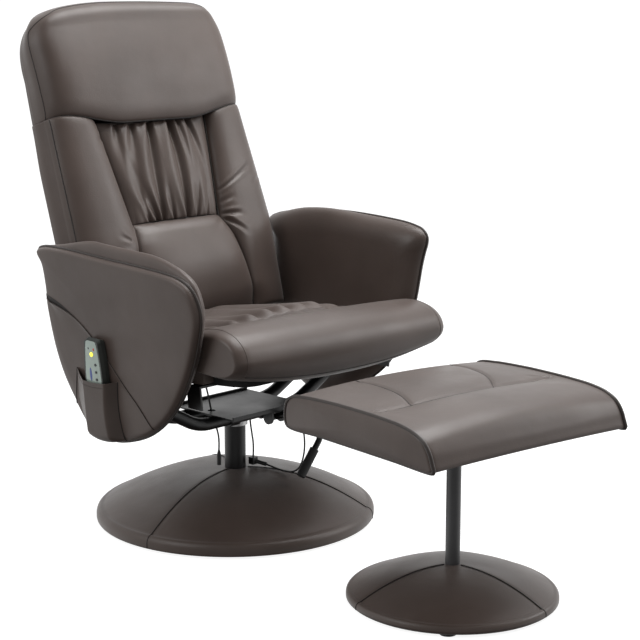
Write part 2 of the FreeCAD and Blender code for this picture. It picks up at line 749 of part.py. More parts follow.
def saddles():
    """Straps under the bows, with ears on the plate's underside."""
    inner = float(size.bow_radius + size.weld_gap)
    outer = inner + float(size.saddle_wall)
    top = inner
    ear = outer + float(size.saddle_ear)
    low = top - float(size.saddle_wall)
    wire = arc_wire((
        (Vector(0, -ear, low),),
        (Vector(0, -outer, low),),
        (Vector(0, -outer, 0),),
        (Vector(0, 0, -outer), Vector(0, outer, 0)),
        (Vector(0, outer, low),),
        (Vector(0, ear, low),),
        (Vector(0, ear, top),),
        (Vector(0, inner, top),),
        (Vector(0, inner, 0),),
        (Vector(0, 0, -inner), Vector(0, -inner, 0)),
        (Vector(0, -inner, top),),
        (Vector(0, -ear, top),),
    ))
    width = float(size.saddle_width)
    strap = Part.Face(wire).extrude(Vector(width, 0, 0))
    pieces = []
    for across in (-float(size.saddle_place), float(size.saddle_place)):
        for along in (-float(size.bow_spread), float(size.bow_spread)):
            piece = strap.copy()
            piece.translate(Vector(across - width / 2, along, float(size.bow_height)))
            pieces.append(piece)
    shape_node("bow_saddles", Part.makeCompound(pieces))


# Arms

def share_wire(shares, middle_share, draw_share, place):
    """An outline given in shares, drawn in about its middle; place turns two shares into a point."""
    def drawn(point):
        pairs = zip(point, middle_share)
        return place(*[middle + (value - middle) * draw_share for value, middle in pairs])

    return arc_wire([[drawn(point) for point in entry] for entry in shares])


def arm_wire(across, draw_share, roll_share=0.0):
    """The leaf outline of an arm at one distance from the middle."""
    height = float(size.arm_height + size.arm_roll * roll_share)

    def place(along, up):
        return Vector(across, float(size.arm_rear) - float(size.arm_length) * along,
                      float(arm_foot()) + height * up)

    return share_wire(ARM_OUTLINE_SHARES, ARM_MIDDLE_SHARE, draw_share, place)


def arm(name, side):
    """An arm: inner pad, board and outer panel, leaning outwards."""
    inner_face = float(size.arm_inner_face)
    split = inner_face + float(size.arm_thickness - size.arm_outer_thickness)
    outer_face = inner_face + float(size.arm_thickness)
    board_end = split + float(size.arm_board_thickness)
    placement = lean_placement(side)
    holes = arm_bolt_holes(side)
    inner_wires = [arm_wire(side * (inner_face + (split - inner_face) * share), draw, roll)
                   for share, draw, roll in ARM_INNER_SHARES]
    shape_node(name + "_arm_inner", loft(inner_wires).cut(holes), placement)
    board = loft([arm_wire(side * face, ARM_BOARD_SHARE) for face in (split, board_end)], True)
    shape_node(name + "_arm_board", board.cut(holes), placement)
    outer_wires = [arm_wire(side * (outer_face + (split - outer_face) * share), draw)
                   for share, draw in ARM_OUTER_SHARES]
    shape_node(name + "_arm_outer", loft(outer_wires).cut(board).cut(holes), placement)


def arm_bolt_places():
    """Where the bolts of the bow flanges pass an arm, along and up."""
    half = float(size.arm_bolt_spacing) / 2
    height = bow_end_height()
    spread = float(size.bow_spread)
    return [(along + step, height) for along in (-spread, spread) for step in (-half, half)]


def arm_bolt_holes(side):
    start = float(size.arm_inner_face - size.overrun)
    length = float(size.arm_thickness)
    radius = float(size.bolt_radius + size.bolt_gap)
    return Part.makeCompound([
        Part.makeCylinder(radius, length, Vector(side * start, along, up), Vector(side, 0, 0))
        for along, up in arm_bolt_places()])


def arm_fixings():
    """Round flanges at the bow ends with their bolts, and the brackets that hold the seat."""
    flanges = []
    bolts = []
    face = float(size.arm_inner_face)
    thickness = float(size.bow_flange_thickness)
    depth = float(size.arm_thickness - size.arm_outer_thickness + size.arm_board_thickness)
    length = depth + thickness - float(size.overrun)
    for side in (-1, 1):
        placement = lean_placement(side)
        way = Vector(side, 0, 0)
        inner = side * (face - thickness)
        for along in (-float(size.bow_spread), float(size.bow_spread)):
            place = Vector(inner, along, bow_end_height())
            flange = Part.makeCylinder(float(size.bow_flange_radius), thickness, place, way)
            flange = flange.cut(arm_flange_holes(side))
            flange.Placement = placement
            flanges.append(flange)
        for along, up in arm_bolt_places():
            shank = Part.makeCylinder(float(size.bolt_radius), length, Vector(inner, along, up), way)
            head = Part.makeCylinder(float(size.bolt_head_radius), float(size.bolt_head_height),
                                     Vector(inner, along, up), -way)
            bolt = shank.fuse(head)
            bolt.Placement = placement
            bolts.append(bolt)
    shape_node("bow_flanges", Part.makeCompound(flanges))
    shape_node("arm_bolts", Part.makeCompound(bolts))


def arm_flange_holes(side):
    start = float(size.arm_inner_face - size.bow_flange_thickness - size.overrun)
    length = float(size.bow_flange_thickness + size.overrun * 2)
    radius = float(size.bolt_radius + size.bolt_gap)
    return Part.makeCompound([
        Part.makeCylinder(radius, length, Vector(side * start, along, up), Vector(side, 0, 0))
        for along, up in arm_bolt_places()])


# Seat

def seat_placement():
    return Placement(Vector(0, 0, float(size.seat_height)),
                     Rotation(Vector(1, 0, 0), -float(size.seat_tilt)))


def seat_wire(shares, rear, front, draw_share, across):
    """A side outline of the seat, between two places along it."""
    def place(along, up):
        return Vector(across, rear + (front - rear) * along, float(size.bolster_thickness) * up)

    return share_wire(shares, PROFILE_MIDDLE_SHARE, draw_share, place)


def seat():
    placement = seat_placement()
    front = -float(size.seat_front)
    bolster_rear = front + float(size.bolster_depth)
    half = float(size.seat_half_width)
    wide = float(size.bolster_half_width)
    seat_end = (front + bolster_rear) / 2
    main = loft([seat_wire(SEAT_OUTLINE_SHARES, float(size.seat_rear), seat_end, draw, half * share)
                 for share, draw in crowned(SEAT_CROWN_SHARES)])
    roll = loft([seat_wire(BOLSTER_OUTLINE_SHARES, bolster_rear, front, draw, wide * share)
                 for share, draw in crowned(BOLSTER_CROWN_SHARES)])
    board = seat_board_shape()
    motors = seat_motor_shapes(0.0)
    room = seat_motor_shapes(float(size.motor_gap))
    below = seat_board_recess()
    cushion = main.fuse(roll).cut(below).cut(Part.makeCompound(room))
    shape_node("seat_cushion", cushion, placement)
    shape_node("seat_board", board, placement)
    shape_node("seat_motors", Part.makeCompound(motors), placement)


def seat_board_outline(margin):
    """The seat board's plan as a solid that starts at the underside, with rounded corners."""
    half = float(size.seat_board_half_width) + margin
    front = -float(size.seat_board_front) - margin
    rear = float(size.seat_board_rear) + margin
    height = float(size.seat_board_thickness)
    plan = Part.makeBox(half * 2, rear - front, height, Vector(-half, front, 0))
    upright = [edge for edge in plan.Edges if abs(edge.tangentAt(edge.FirstParameter).z) > UPRIGHT_SHARE]
    return plan.makeFillet(float(size.seat_board_corner), upright)


def seat_board_shape():
    return seat_board_outline(0.0)


def seat_board_recess():
    """Room for the seat board, open below."""
    recess = seat_board_outline(float(size.soft_gap))
    lower = recess.copy()
    lower.translate(Vector(0, 0, -float(size.overrun)))
    return recess.fuse(lower)


def seat_motor_shapes(gap):
    """Vibration motors that stand on the seat board."""
    shapes = []
    for side in (-1, 1):
        place = Vector(side * float(size.seat_motor_spread), -float(size.seat_motor_front),
                       float(size.seat_board_thickness))
        radius = float(size.motor_radius) + gap
        shapes.append(Part.makeCylinder(radius, float(size.motor_height) + gap, place))
    return shapes


def seat_brackets():
    """Angles under the seat that hold the arms."""
    pieces = []
    thickness = float(size.bracket_thickness)
    width = float(size.seat_bracket_width)
    reach = float(size.seat_bracket_reach)
    face = float(size.arm_inner_face)
    drop = float(size.seat_bracket_drop)
    for side in (-1, 1):
        for along in (-float(size.seat_bracket_front), -float(size.seat_bracket_rear)):
            under = Part.makeBox(reach, width, thickness, Vector(face - reach, -width / 2, -thickness))
            if side < 0:
                under = under.mirror(Vector(), Vector(1, 0, 0))
            under.translate(Vector(0, along, 0))
            under.Placement = seat_placement().multiply(under.Placement)
            level = float(size.seat_height) - along * math.tan(math.radians(float(size.seat_tilt)))
            corner = Vector(face - thickness, along - width / 2, level - drop)
            leg = Part.makeBox(thickness, width, drop, corner)
            if side < 0:
                leg = leg.mirror(Vector(), Vector(1, 0, 0))
            leg.Placement = lean_placement(side).multiply(leg.Placement)
            joined = under.fuse(leg).cut(arm_space(side, float(size.soft_gap))).cut(seat_space())
            pieces.append(joined)
    shape_node("seat_brackets", Part.makeCompound(pieces))


def seat_space():
    """A large block over the plane of the seat's underside."""
    reach = float(size.arm_length) * 2
    block = Part.makeBox(reach * 2, reach * 2, reach, Vector(-reach, -reach, 0))
    block.Placement = seat_placement()
    return block


# Back

def hinge_height():
    return float(size.seat_height + size.hinge_rise)


def back_placement():
    return Placement(Vector(0, float(size.hinge_rear), hinge_height()),
                     Rotation(Vector(1, 0, 0), -float(size.back_tilt)))


def mirrored_wire(half):
    """A closed wire from its right half, which starts and ends on a level line; x is mirrored."""
    def flipped(point):
        return Vector(-point.x, point.y, point.z)

    entries = list(half[1:])
    ends = [half[0][-1]] + [entry[-1] for entry in entries]
    entries.append((flipped(ends[-1]),))
    for index in range(len(half) - 1, 0, -1):
        entry = half[index]
        target = flipped(ends[index - 1])
        entries.append((target,) if len(entry) == 1 else (flipped(entry[0]), target))
    entries.append((ends[0],))
    return arc_wire(entries)


def back_roll_wire(up, half, fullness):
    """Level section of the back cushion: side rolls with a flat middle between them."""
    rear = float(size.back_rear_plane)
    flat = -float(size.back_front_plane)
    middle = float(size.lumbar_foot_half_width + size.soft_gap)
    side = half * BACK_SIDE_SHARE
    front = flat - float(size.back_bolster) * fullness
    return mirrored_wire((
        (Vector(half - side, rear, up),),
        (Vector(half, (rear + flat) / 2, up), Vector(half - side, flat, up)),
        (Vector((half + middle) / 2, front, up), Vector(middle, flat, up)),
    ))


def back_cushion():
    foot = float(size.back_foot)
    height = float(size.back_seam - size.soft_gap) - foot
    base = float(size.back_half_width - size.back_foot_draw)
    swell = float(size.back_foot_draw + size.back_belly)
    wires = [back_roll_wire(foot + height * up, base + swell * wide, full)
             for up, wide, full in BACK_ROLL_SHARES]
    room = Part.makeCompound(back_motor_shapes(float(size.motor_gap)))
    shape_node("back_cushion", loft(wires).cut(room), back_placement())


def back_motor_shapes(gap):
    """Vibration motors on the front of the back board."""
    foot = float(size.back_foot)
    height = float(size.back_seam) - foot
    shapes = []
    for share in BACK_MOTOR_SHARES:
        for side in (-1, 1):
            across = side * float(size.back_motor_spread)
            place = Vector(across, float(size.back_rear_plane), foot + height * share)
            shapes.append(Part.makeCylinder(float(size.motor_radius) + gap, float(size.motor_height) + gap,
                                            place, Vector(0, -1, 0)))
    return shapes


def pleat_wire(up, half):
    """Level section of the gathered panel: a row of soft pleats."""
    flat = -float(size.back_front_plane)
    valley = flat - float(size.panel_depth) * PLEAT_VALLEY_SHARE
    crest = flat - float(size.panel_depth)
    step = half * 2 / PLEAT_COUNT
    entries = [(Vector(half, flat, up),), (Vector(half, valley, up),)]
    for index in range(PLEAT_COUNT):
        middle = half - step * (index + HALF_SHARE)
        entries.append((Vector(middle, crest, up), Vector(half - step * (index + 1), valley, up)))
    entries.append((Vector(-half, flat, up),))
    return arc_wire(entries)


def gathered_panel():
    foot = float(size.lumbar_top + size.soft_gap)
    top = float(size.back_seam - size.soft_gap)
    lower = pleat_wire(foot, float(size.panel_foot_half_width))
    wires = [lower, pleat_wire(top, float(size.panel_half_width))]
    shape_node("gathered_panel", loft(wires, True), back_placement())


def lumbar_pad():
    foot = float(size.back_foot)
    height = float(size.lumbar_top) - foot
    low_half = float(size.lumbar_foot_half_width)
    top_half = float(size.lumbar_top_half_width)
    flat = -float(size.back_front_plane)
    wires = []
    for up, deep in LUMBAR_SHARES:
        half = low_half + (top_half - low_half) * up
        depth = float(size.lumbar_depth) * deep
        level = foot + height * up
        edge = depth * LUMBAR_EDGE_SHARE
        wires.append(arc_wire((
            (Vector(half, flat, level),),
            (Vector(half, flat - edge, level),),
            (Vector(0, flat - depth, level), Vector(-half, flat - edge, level)),
            (Vector(-half, flat, level),),
        )))
    shape_node("lumbar_pad", loft(wires), back_placement())


def headrest_pad():
    seam = float(size.back_seam)
    height = float(size.back_top) - seam
    rear = float(size.back_rear_plane)
    full_depth = float(size.back_rear_plane + size.back_front_plane + size.headrest_depth)
    wires = []
    for up, wide, deep in HEADREST_SHARES:
        half = float(size.back_half_width) * wide
        side = half * BACK_SIDE_SHARE
        corner = half * HEADREST_CORNER_SHARE
        depth = full_depth * deep
        front = rear - depth * (1 - HEADREST_CROWN_SHARE)
        level = seam + height * up
        wires.append(arc_wire((
            (Vector(half - side, rear, level),),
            (Vector(half, (rear + front) / 2, level), Vector(half - corner, front, level)),
            (Vector(0, rear - depth, level), Vector(corner - half, front, level)),
            (Vector(-half, (rear + front) / 2, level), Vector(side - half, rear, level)),
        )))
    shape_node("headrest_pad", loft(wires), back_placement())


def back_boards():
    """The board inside the back, its motors, and the rear panel that wraps its edges."""
    half = float(size.back_board_half_width)
    foot = float(size.back_board_foot)
    rear = float(size.back_rear_plane)
    height = float(size.back_board_top) - foot
    thickness = float(size.back_board_thickness)
    board = Part.makeBox(half * 2, thickness, height, Vector(-half, rear, foot))
    across = [edge for edge in board.Edges
              if abs(edge.tangentAt(edge.FirstParameter).y) > UPRIGHT_SHARE
              and edge.CenterOfMass.z > foot + height / 2]
    board = board.makeFillet(float(size.back_board_corner), across)
    shape_node("back_board", board, back_placement())
    shape_node("back_motors", Part.makeCompound(back_motor_shapes(0.0)), back_placement())
    gap = float(size.soft_gap)
    room_corner = Vector(-half - gap, rear, 0)
    room = Part.makeBox((half + gap) * 2, thickness + gap, height + gap * 2 + foot, room_corner)
    panel_depth = float(size.back_panel_depth)
    wires = [panel_wire(rear + panel_depth * share, draw) for share, draw in PANEL_EDGE_SHARES]
    shape_node("back_panel", loft(wires).cut(room), back_placement())


def panel_wire(deep, draw_share):
    """Outline of the rear panel at one depth."""
    foot = float(size.back_foot)
    height = float(size.back_top) - foot
    half = float(size.back_half_width)

    def place(point):
        middle_across, middle_up = PANEL_MIDDLE_SHARE
        across = middle_across + (point[0] - middle_across) * draw_share
        up = middle_up + (point[1] - middle_up) * draw_share
        return Vector(half * across, deep, foot + height * up)

    start = ((place((PANEL_FOOT_SHARE, 0.0)),),)
    rest = tuple(tuple(place(point) for point in entry) for entry in PANEL_OUTLINE_SHARES)
    return mirrored_wire(start + rest)


def hinges():
    """Ears on the seat, ears on the back, and the pins that join them."""
    pin = float(size.hinge_pin_radius)
    ear = float(size.hinge_ear_radius)
    steel = float(size.bracket_thickness)
    place = float(size.hinge_place)
    apart = float(size.hinge_side_gap)
    hole = pin + float(size.running_gap)
    axis = Vector(0, float(size.hinge_rear), hinge_height())
    seat_ears = []
    back_ears = []
    pins = []
    for side in (-1, 1):
        way = Vector(side, 0, 0)
        seat_ears.append(seat_ear(side, axis, ear, steel, place).cut(
            Part.makeCylinder(hole, steel * 3, Vector(side * (place - steel), axis.y, axis.z), way)))
        start = place + steel + apart
        back_ears.append(back_ear(side, ear, steel, start, hole))
        shank = Part.makeCylinder(pin, steel * 2 + apart * 2, Vector(side * place, axis.y, axis.z), way)
        head = Part.makeCylinder(pin * PIN_HEAD_SHARE, steel, Vector(side * place, axis.y, axis.z), -way)
        end = place + steel * 2 + apart * 2
        cap = Part.makeCylinder(pin * PIN_HEAD_SHARE, steel / 2, Vector(side * end, axis.y, axis.z), way)
        pins.append(shank.fuse(head).fuse(cap))
    shape_node("hinge_brackets", Part.makeCompound(seat_ears))
    shape_node("back_brackets", Part.makeCompound(back_ears), back_placement())
    shape_node("hinge_pins", Part.makeCompound(pins))


def seat_ear(side, axis, ear, steel, place):
    """A plate that hangs under the seat board and rises behind the seat to the hinge."""
    slope = math.tan(math.radians(float(size.seat_tilt)))

    def under(along, drop):
        return Vector(0, along, float(size.seat_height) - slope * along - drop)

    rear = float(size.seat_rear) + ear
    front = float(size.seat_board_rear - size.seat_bracket_reach)
    outline = Part.makePolygon([
        under(front, 0.0), under(rear, 0.0),
        Vector(0, axis.y - ear, axis.z), Vector(0, axis.y, axis.z + ear),
        Vector(0, axis.y + ear, axis.z), Vector(0, axis.y, axis.z - ear),
        under(rear, ear * 2), under(front, ear), under(front, 0.0)])
    plate = Part.Face(outline).extrude(Vector(side * steel, 0, 0))
    plate.translate(Vector(side * place, 0, 0))
    disc = Part.makeCylinder(ear, steel, Vector(side * place, axis.y, axis.z), Vector(side, 0, 0))
    foot = Part.makeBox(ear * 2, rear - front, steel, Vector(-ear, front, -steel))
    foot.translate(Vector(side * (place - ear), 0, 0))
    foot.Placement = seat_placement().multiply(foot.Placement)
    reach = float(size.seat_rear) * 2
    corner = Vector(side * place - reach / 2, front - reach, float(size.seat_height) - reach / 2)
    front_end = Part.makeBox(reach, reach, reach, corner)
    return plate.fuse(disc).fuse(foot).cut(front_end)


def back_ear(side, ear, steel, start, hole):
    """A plate from the hinge to the lower edge of the back board, in the frame of the back."""
    rear = float(size.back_rear_plane + size.back_board_thickness)
    foot = float(size.back_board_foot)
    outline = Part.makePolygon([
        Vector(0, -ear, 0), Vector(0, -ear, foot - steel), Vector(0, rear, foot - steel),
        Vector(0, rear, foot - steel * 2), Vector(0, ear, -ear / 2),
        Vector(0, 0, -ear), Vector(0, -ear, 0)])
    plate = Part.Face(outline).extrude(Vector(side * steel, 0, 0))
    plate.translate(Vector(side * start, 0, 0))
    disc = Part.makeCylinder(ear, steel, Vector(side * start, 0, 0), Vector(side, 0, 0))
    tab = Part.makeBox(ear * 2, float(size.back_board_thickness), steel,
                       Vector(-ear, float(size.back_rear_plane), foot - steel))
    tab.translate(Vector(side * (start - ear + steel), 0, 0))
    bore = Part.makeCylinder(hole, steel * 3, Vector(side * (start - steel), 0, 0), Vector(side, 0, 0))
    return plate.fuse(disc).fuse(tab).cut(bore)


def back():
    back_cushion()
    gathered_panel()
    lumbar_pad()
    headrest_pad()
    back_boards()
    hinges()


# Recline lever

def lever():
    """A bent rod that turns in a bracket under the plate, with a sleeve on its handle."""
    axis_height = float(size.lever_axis_height)
    axis_place = Vector(float(size.lever_place), -float(size.lever_axis_front), axis_height)
    way = Vector(1, 0, 0)
    length = float(size.lever_shaft_length)
    ear = float(size.lever_ear_thickness)
    radius = float(size.lever_radius)
    reach = (float(size.lever_out), -float(size.lever_reach), float(size.lever_drop))
    route = [axis_place + Vector(*[share * step for share, step in zip(shares, reach)])
             for shares in LEVER_ROUTE_SHARES]
    path, _ = rounded_path(route, float(size.lever_bend_radius))
    rod = swept(path, radius)
    shaft = Part.makeCylinder(radius, length, axis_place - way * (length / 2), way)
    ball = Part.makeSphere(radius, axis_place)
    end = route[-1]
    back_way = (route[-2] - end).normalize()
    core = radius + float(size.weld_gap)
    grip_length = float(size.lever_grip_length)
    wall = float(size.lever_grip_radius) - core
    grip_end = end - back_way * wall
    grip = Part.makeCylinder(float(size.lever_grip_radius), grip_length + wall, grip_end, back_way)
    tip = [edge for edge in grip.Edges if edge.CenterOfMass.distanceToPoint(grip_end) < radius / 2]
    grip = grip.makeFillet(wall, tip).cut(Part.makeCylinder(core, grip_length + wall, end, back_way))
    shape_node("lever_rod", rod.fuse(shaft).fuse(ball))
    shape_node("lever_grip", grip)
    plate_bottom = float(plate_underside())
    ears = []
    for side in (-1, 1):
        start = axis_place + way * (side * length / 2 - ear * (side + 1) / 2)
        reach = radius * 2
        plate = Part.makeBox(ear, reach * 2, plate_bottom - axis_place.z, start - Vector(0, reach, 0))
        disc = Part.makeCylinder(reach, ear, start, way)
        hole = Part.makeCylinder(radius + float(size.running_gap), ear * 3, start - way * ear, way)
        ears.append(plate.fuse(disc).cut(hole))
    shape_node("lever_bracket", Part.makeCompound(ears))


# Handset and pocket on the left arm

def outer_face():
    return float(size.arm_inner_face + size.arm_thickness)


def pocket():
    """An open pouch of leather on the outer face of the left arm."""
    width = float(size.pocket_width)
    depth = float(size.pocket_depth)
    wall = float(size.pocket_wall)
    foot = float(arm_foot() + size.pocket_rise)
    height = float(size.pocket_height)
    start = Vector(-outer_face() - depth, float(size.pocket_middle) - width / 2, foot)
    outer = Part.makeBox(depth, width, height, start)
    corner = [edge for edge in outer.Edges
              if edge.CenterOfMass.x < start.x + wall and edge.CenterOfMass.z < foot + height]
    inner = Part.makeBox(depth, width - wall * 2, height, start + Vector(wall, wall, wall))
    pouch = outer.makeFillet(float(size.pocket_round), corner).cut(inner)
    shape_node("remote_pocket", pouch, lean_placement(-1))


def handset_wire(across, draw_share):
    """Outline of the handset in the plane of the arm."""
    foot = float(arm_foot() + size.pocket_rise + size.pocket_wall + size.soft_gap)
    half = float(size.handset_foot_width) / 2
    length = float(size.handset_length)
    middle = float(size.handset_middle)

    def place(point):
        up = HALF_SHARE + (point[1] - HALF_SHARE) * draw_share
        return Vector(half * point[0] * draw_share, 0, foot + length * up)

    start = ((place((HANDSET_FOOT_SHARE, 0.0)),),)
    rest = tuple(tuple(place(point) for point in entry) for entry in HANDSET_OUTLINE_SHARES)
    wire = mirrored_wire(start + rest)
    wire.Placement = Placement(Vector(across, middle, 0), Rotation(Vector(0, 0, 1), 90))
    return wire


def inset_share(margin):
    """How much a margin draws the handset's outline in."""
    return 1 - 2 * margin / float(size.handset_foot_width)


def slab(first, last, margin, last_margin=None):
    """A solid of the handset's outline between two distances from the middle of the chair."""
    far = margin if last_margin is None else last_margin
    return loft([handset_wire(first, inset_share(margin)), handset_wire(last, inset_share(far))], True)


def button_places():
    """Name, radius, along and up of every button."""
    head = float(arm_foot() + size.pocket_rise + size.pocket_wall + size.soft_gap + size.handset_length)
    middle = float(size.handset_middle)
    places = [("power_button", float(size.power_radius), middle, head - float(size.power_drop))]
    for index in range(ZONE_COUNT):
        up = head - float(size.zone_drop) - float(size.zone_pitch) * index
        places.append(("zone_button_%d" % (index + 1), float(size.button_radius),
                       middle - float(size.zone_offset), up))
    return places


def handset():
    """Two moulded shells, a front plate, a circuit board and the buttons."""
    placement = lean_placement(-1)
    wall = float(size.handset_wall)
    gap = float(size.soft_gap)
    thickness = float(size.handset_thickness)
    rear = -outer_face() - (float(size.pocket_depth - size.pocket_wall) - thickness) / 2
    front = rear - thickness
    split = (front + rear) / 2
    face = float(size.face_thickness)
    margin = float(size.face_margin)
    hollow = slab(front + face + wall, split - gap / 2, wall)
    shell = slab(split - gap / 2, front, 0.0, wall / 2).cut(hollow)
    shell = shell.cut(slab(front - face, front + face, margin - gap))
    rear_hollow = slab(rear - wall, split + gap / 2, wall)
    rear_shell = slab(split + gap / 2, rear, 0.0, wall / 2).cut(rear_hollow)
    plate = slab(front + face, front, margin)
    holes = []
    buttons = []
    way = Vector(1, 0, 0)
    stem = float(size.button_stem)
    proud = float(size.button_proud)
    for label, radius, along, up in button_places():
        start = Vector(front - proud, along, up)
        buttons.append((label, Part.makeCylinder(radius, proud + face + stem, start, way)))
        holes.append(Part.makeCylinder(radius + float(size.button_gap), thickness / 2,
                                       start - way * proud, way))
    through = Part.makeCompound(holes)
    shape_node("handset_front", shell.cut(through), placement)
    shape_node("handset_rear", rear_shell, placement)
    shape_node("handset_face", plate.cut(through), placement)
    board_start = rear - wall
    posts = float(size.circuit_margin)
    board = slab(split + gap / 2 + float(size.circuit_thickness), split + gap / 2, posts)
    feet = slab(board_start, split + gap / 2 + float(size.circuit_thickness), posts + wall * 2)
    shape_node("handset_circuit", board.fuse(feet), placement)
    for label, shape in buttons:
        shape_node(label, shape, placement)


# Footstool

def stool_placement():
    return Placement(Vector(-float(size.stool_left), -float(size.stool_front), 0),
                     Rotation(Vector(0, 0, 1), float(size.stool_angle)))


def stool():
    first = len(nodes)
    glides("stool_glides", STOOL_GLIDE_COUNT, size.stool_glide_circle, HALF_SHARE)
    dome("stool", ("stool_pan", "stool_cover"), size.stool_column_radius)
    plate_bottom = size.stool_pad_bottom - size.stool_plate_thickness
    foot = size.glide_height
    inner = size.stool_column_radius - size.stool_column_wall
    node(ring(size.stool_column_radius, inner, plate_bottom - foot, (ZERO, ZERO, foot)), "stool_column")
    half_plate = size.stool_plate_size / 2
    node(box(size.stool_plate_size, size.stool_plate_size, size.stool_plate_thickness,
             (-half_plate, -half_plate, plate_bottom)), "stool_top_plate")
    half_width = size.stool_board_width / 2
    half_depth = size.stool_board_depth / 2
    node(box(size.stool_board_width, size.stool_board_depth, size.stool_board_thickness,
             (-half_width, -half_depth, size.stool_pad_bottom)), "stool_board")
    doc.recompute()
    for made in nodes[first:]:
        made.Placement = stool_placement().multiply(made.Placement)
    gap = float(size.soft_gap)
    room = Part.makeBox(float(size.stool_board_width) + gap * 2, float(size.stool_board_depth) + gap * 2,
                        float(size.stool_board_thickness + size.overrun),
                        Vector(-float(half_width) - gap, -float(half_depth) - gap,
                               float(size.stool_pad_bottom - size.overrun)))
    half = float(size.stool_pad_width) / 2
    wires = [stool_wire(half * share, draw) for share, draw in crowned(STOOL_CROWN_SHARES)]
    shape_node("stool_cushion", loft(wires).cut(room), stool_placement())


def stool_wire(across, draw_share):
    depth = float(size.stool_pad_depth)
    height = float(size.stool_pad_thickness + size.stool_pad_crown)

    def place(along, up):
        return Vector(across, depth * (HALF_SHARE - along), float(size.stool_pad_bottom) + height * up)

    return share_wire(STOOL_OUTLINE_SHARES, (HALF_SHARE, 0.0), draw_share, place)


# Leads

def leads():
    """Thin leads under the seat, a hanging barrel plug and an inline socket."""
    checked_lead("hanging_lead", HANGING_ROUTE)
    end = Vector(*HANGING_ROUTE[-1])
    down = Vector(0, 0, -1)
    radius = float(size.plug_radius)
    taper = float(size.plug_length) * PLUG_TAPER_SHARE
    barrel = Part.makeCylinder(radius, float(size.plug_length) - taper, end + down * taper, down)
    relief = Part.makeCone(float(size.lead_radius), radius, taper, end, down)
    shape_node("lead_plug", relief.fuse(barrel))
    checked_lead("supply_lead", SUPPLY_ROUTE)
    half = float(size.socket_size) / 2
    top = Vector(*SUPPLY_ROUTE[-1])
    height = float(size.socket_height)
    block = Part.makeBox(half * 2, half * 2, height, top - Vector(half, half, height))
    start = top - Vector(0, 0, height / 2)
    end = Vector(*HANDLE_ROUTE[0])
    reach = (end - start).Length - float(size.soft_gap)
    barrel = Part.makeCylinder(float(size.socket_barrel_radius), reach, start, end - start)
    shape_node("inline_socket", block.fuse(barrel))
    checked_lead("handle_lead", HANDLE_ROUTE)


def build():
    carrier(chair_base())
    for name, side in (("left", -1), ("right", 1)):
        arm(name, side)
    arm_fixings()
    seat()
    seat_brackets()
    back()
    lever()
    pocket()
    handset()
    stool()
    leads()
    doc.recompute()


def export():
    """Stops at the first faulty object, and writes one file for each sub-part."""
    for made in doc.Objects:
        if "Invalid" in made.State or "Error" in made.State:
            raise RuntimeError("%s (%s) failed" % (made.Label, made.Name))
    for made in nodes:
        if made.Shape.isNull() or not made.Shape.isValid():
            raise RuntimeError("%s has no valid shape" % made.Label)
    os.makedirs("parts", exist_ok=True)
    for made in nodes:
        made.Shape.exportStep(os.path.join("parts", made.Label + ".step"))
    print(len(nodes), "sub-parts")


build()
export()
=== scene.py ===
import json
from math import cos, pi, radians, sin
from types import SimpleNamespace

import bmesh
import bpy
import numpy as np
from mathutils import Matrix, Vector


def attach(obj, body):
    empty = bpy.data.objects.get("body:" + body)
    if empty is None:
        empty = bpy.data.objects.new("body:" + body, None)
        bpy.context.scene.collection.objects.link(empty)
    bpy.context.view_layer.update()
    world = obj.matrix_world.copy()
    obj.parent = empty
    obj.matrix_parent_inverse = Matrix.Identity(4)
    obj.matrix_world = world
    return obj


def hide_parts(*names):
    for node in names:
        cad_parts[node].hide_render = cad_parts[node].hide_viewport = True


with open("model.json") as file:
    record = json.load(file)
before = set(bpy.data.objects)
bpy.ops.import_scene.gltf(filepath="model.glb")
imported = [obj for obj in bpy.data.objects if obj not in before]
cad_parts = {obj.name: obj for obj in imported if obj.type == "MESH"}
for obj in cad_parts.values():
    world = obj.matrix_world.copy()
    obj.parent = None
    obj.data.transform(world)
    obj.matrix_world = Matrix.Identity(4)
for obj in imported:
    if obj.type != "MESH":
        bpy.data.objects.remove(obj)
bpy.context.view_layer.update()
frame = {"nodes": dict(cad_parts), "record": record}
nodes = frame["nodes"]


# Curves and blends

def clamp(t):
    return np.clip(t, 0, 1)


def smooth(t):
    t = clamp(t)
    return t * t * (3 - 2 * t)


def rounded(t, power=2.0):
    """Falls from one to nought as a quarter of a circle does."""
    return np.sqrt(1 - clamp(t) ** power)


def puffed(s, flat, full):
    """Swell of padding between two seams, which lie at -1 and 1."""
    return (1 - np.abs(s) ** flat) ** (1 / full)


def eased(count):
    """Shares from 0 to 1, closer together at both ends."""
    return 0.5 - 0.5 * np.cos(np.linspace(0, pi, count))


def spread(count, reach=1.0):
    """Shares from -1 to 1, closer together at both ends."""
    return np.sin(np.linspace(-pi / 2, pi / 2, count) * reach)


def round_turn(count):
    return np.linspace(0, 2 * pi, count, endpoint=False)


def scaled(points, middle, share):
    return middle + (points - middle) * share


def travelled(points, power=1.0):
    """Length along a line of points to each of them, each step raised to a power."""
    steps = np.linalg.norm(np.diff(points, axis=0), axis=1)
    return np.concatenate([[0], np.cumsum(steps ** power)])


def along_line(points, want):
    """Points of a line at the wanted lengths from its start."""
    p = np.asarray(points, float)
    length = travelled(p)
    return np.stack([np.interp(want, length, p[:, k]) for k in range(p.shape[1])], 1)


def evenly(points, count):
    return along_line(points, np.linspace(0, travelled(points)[-1], count))


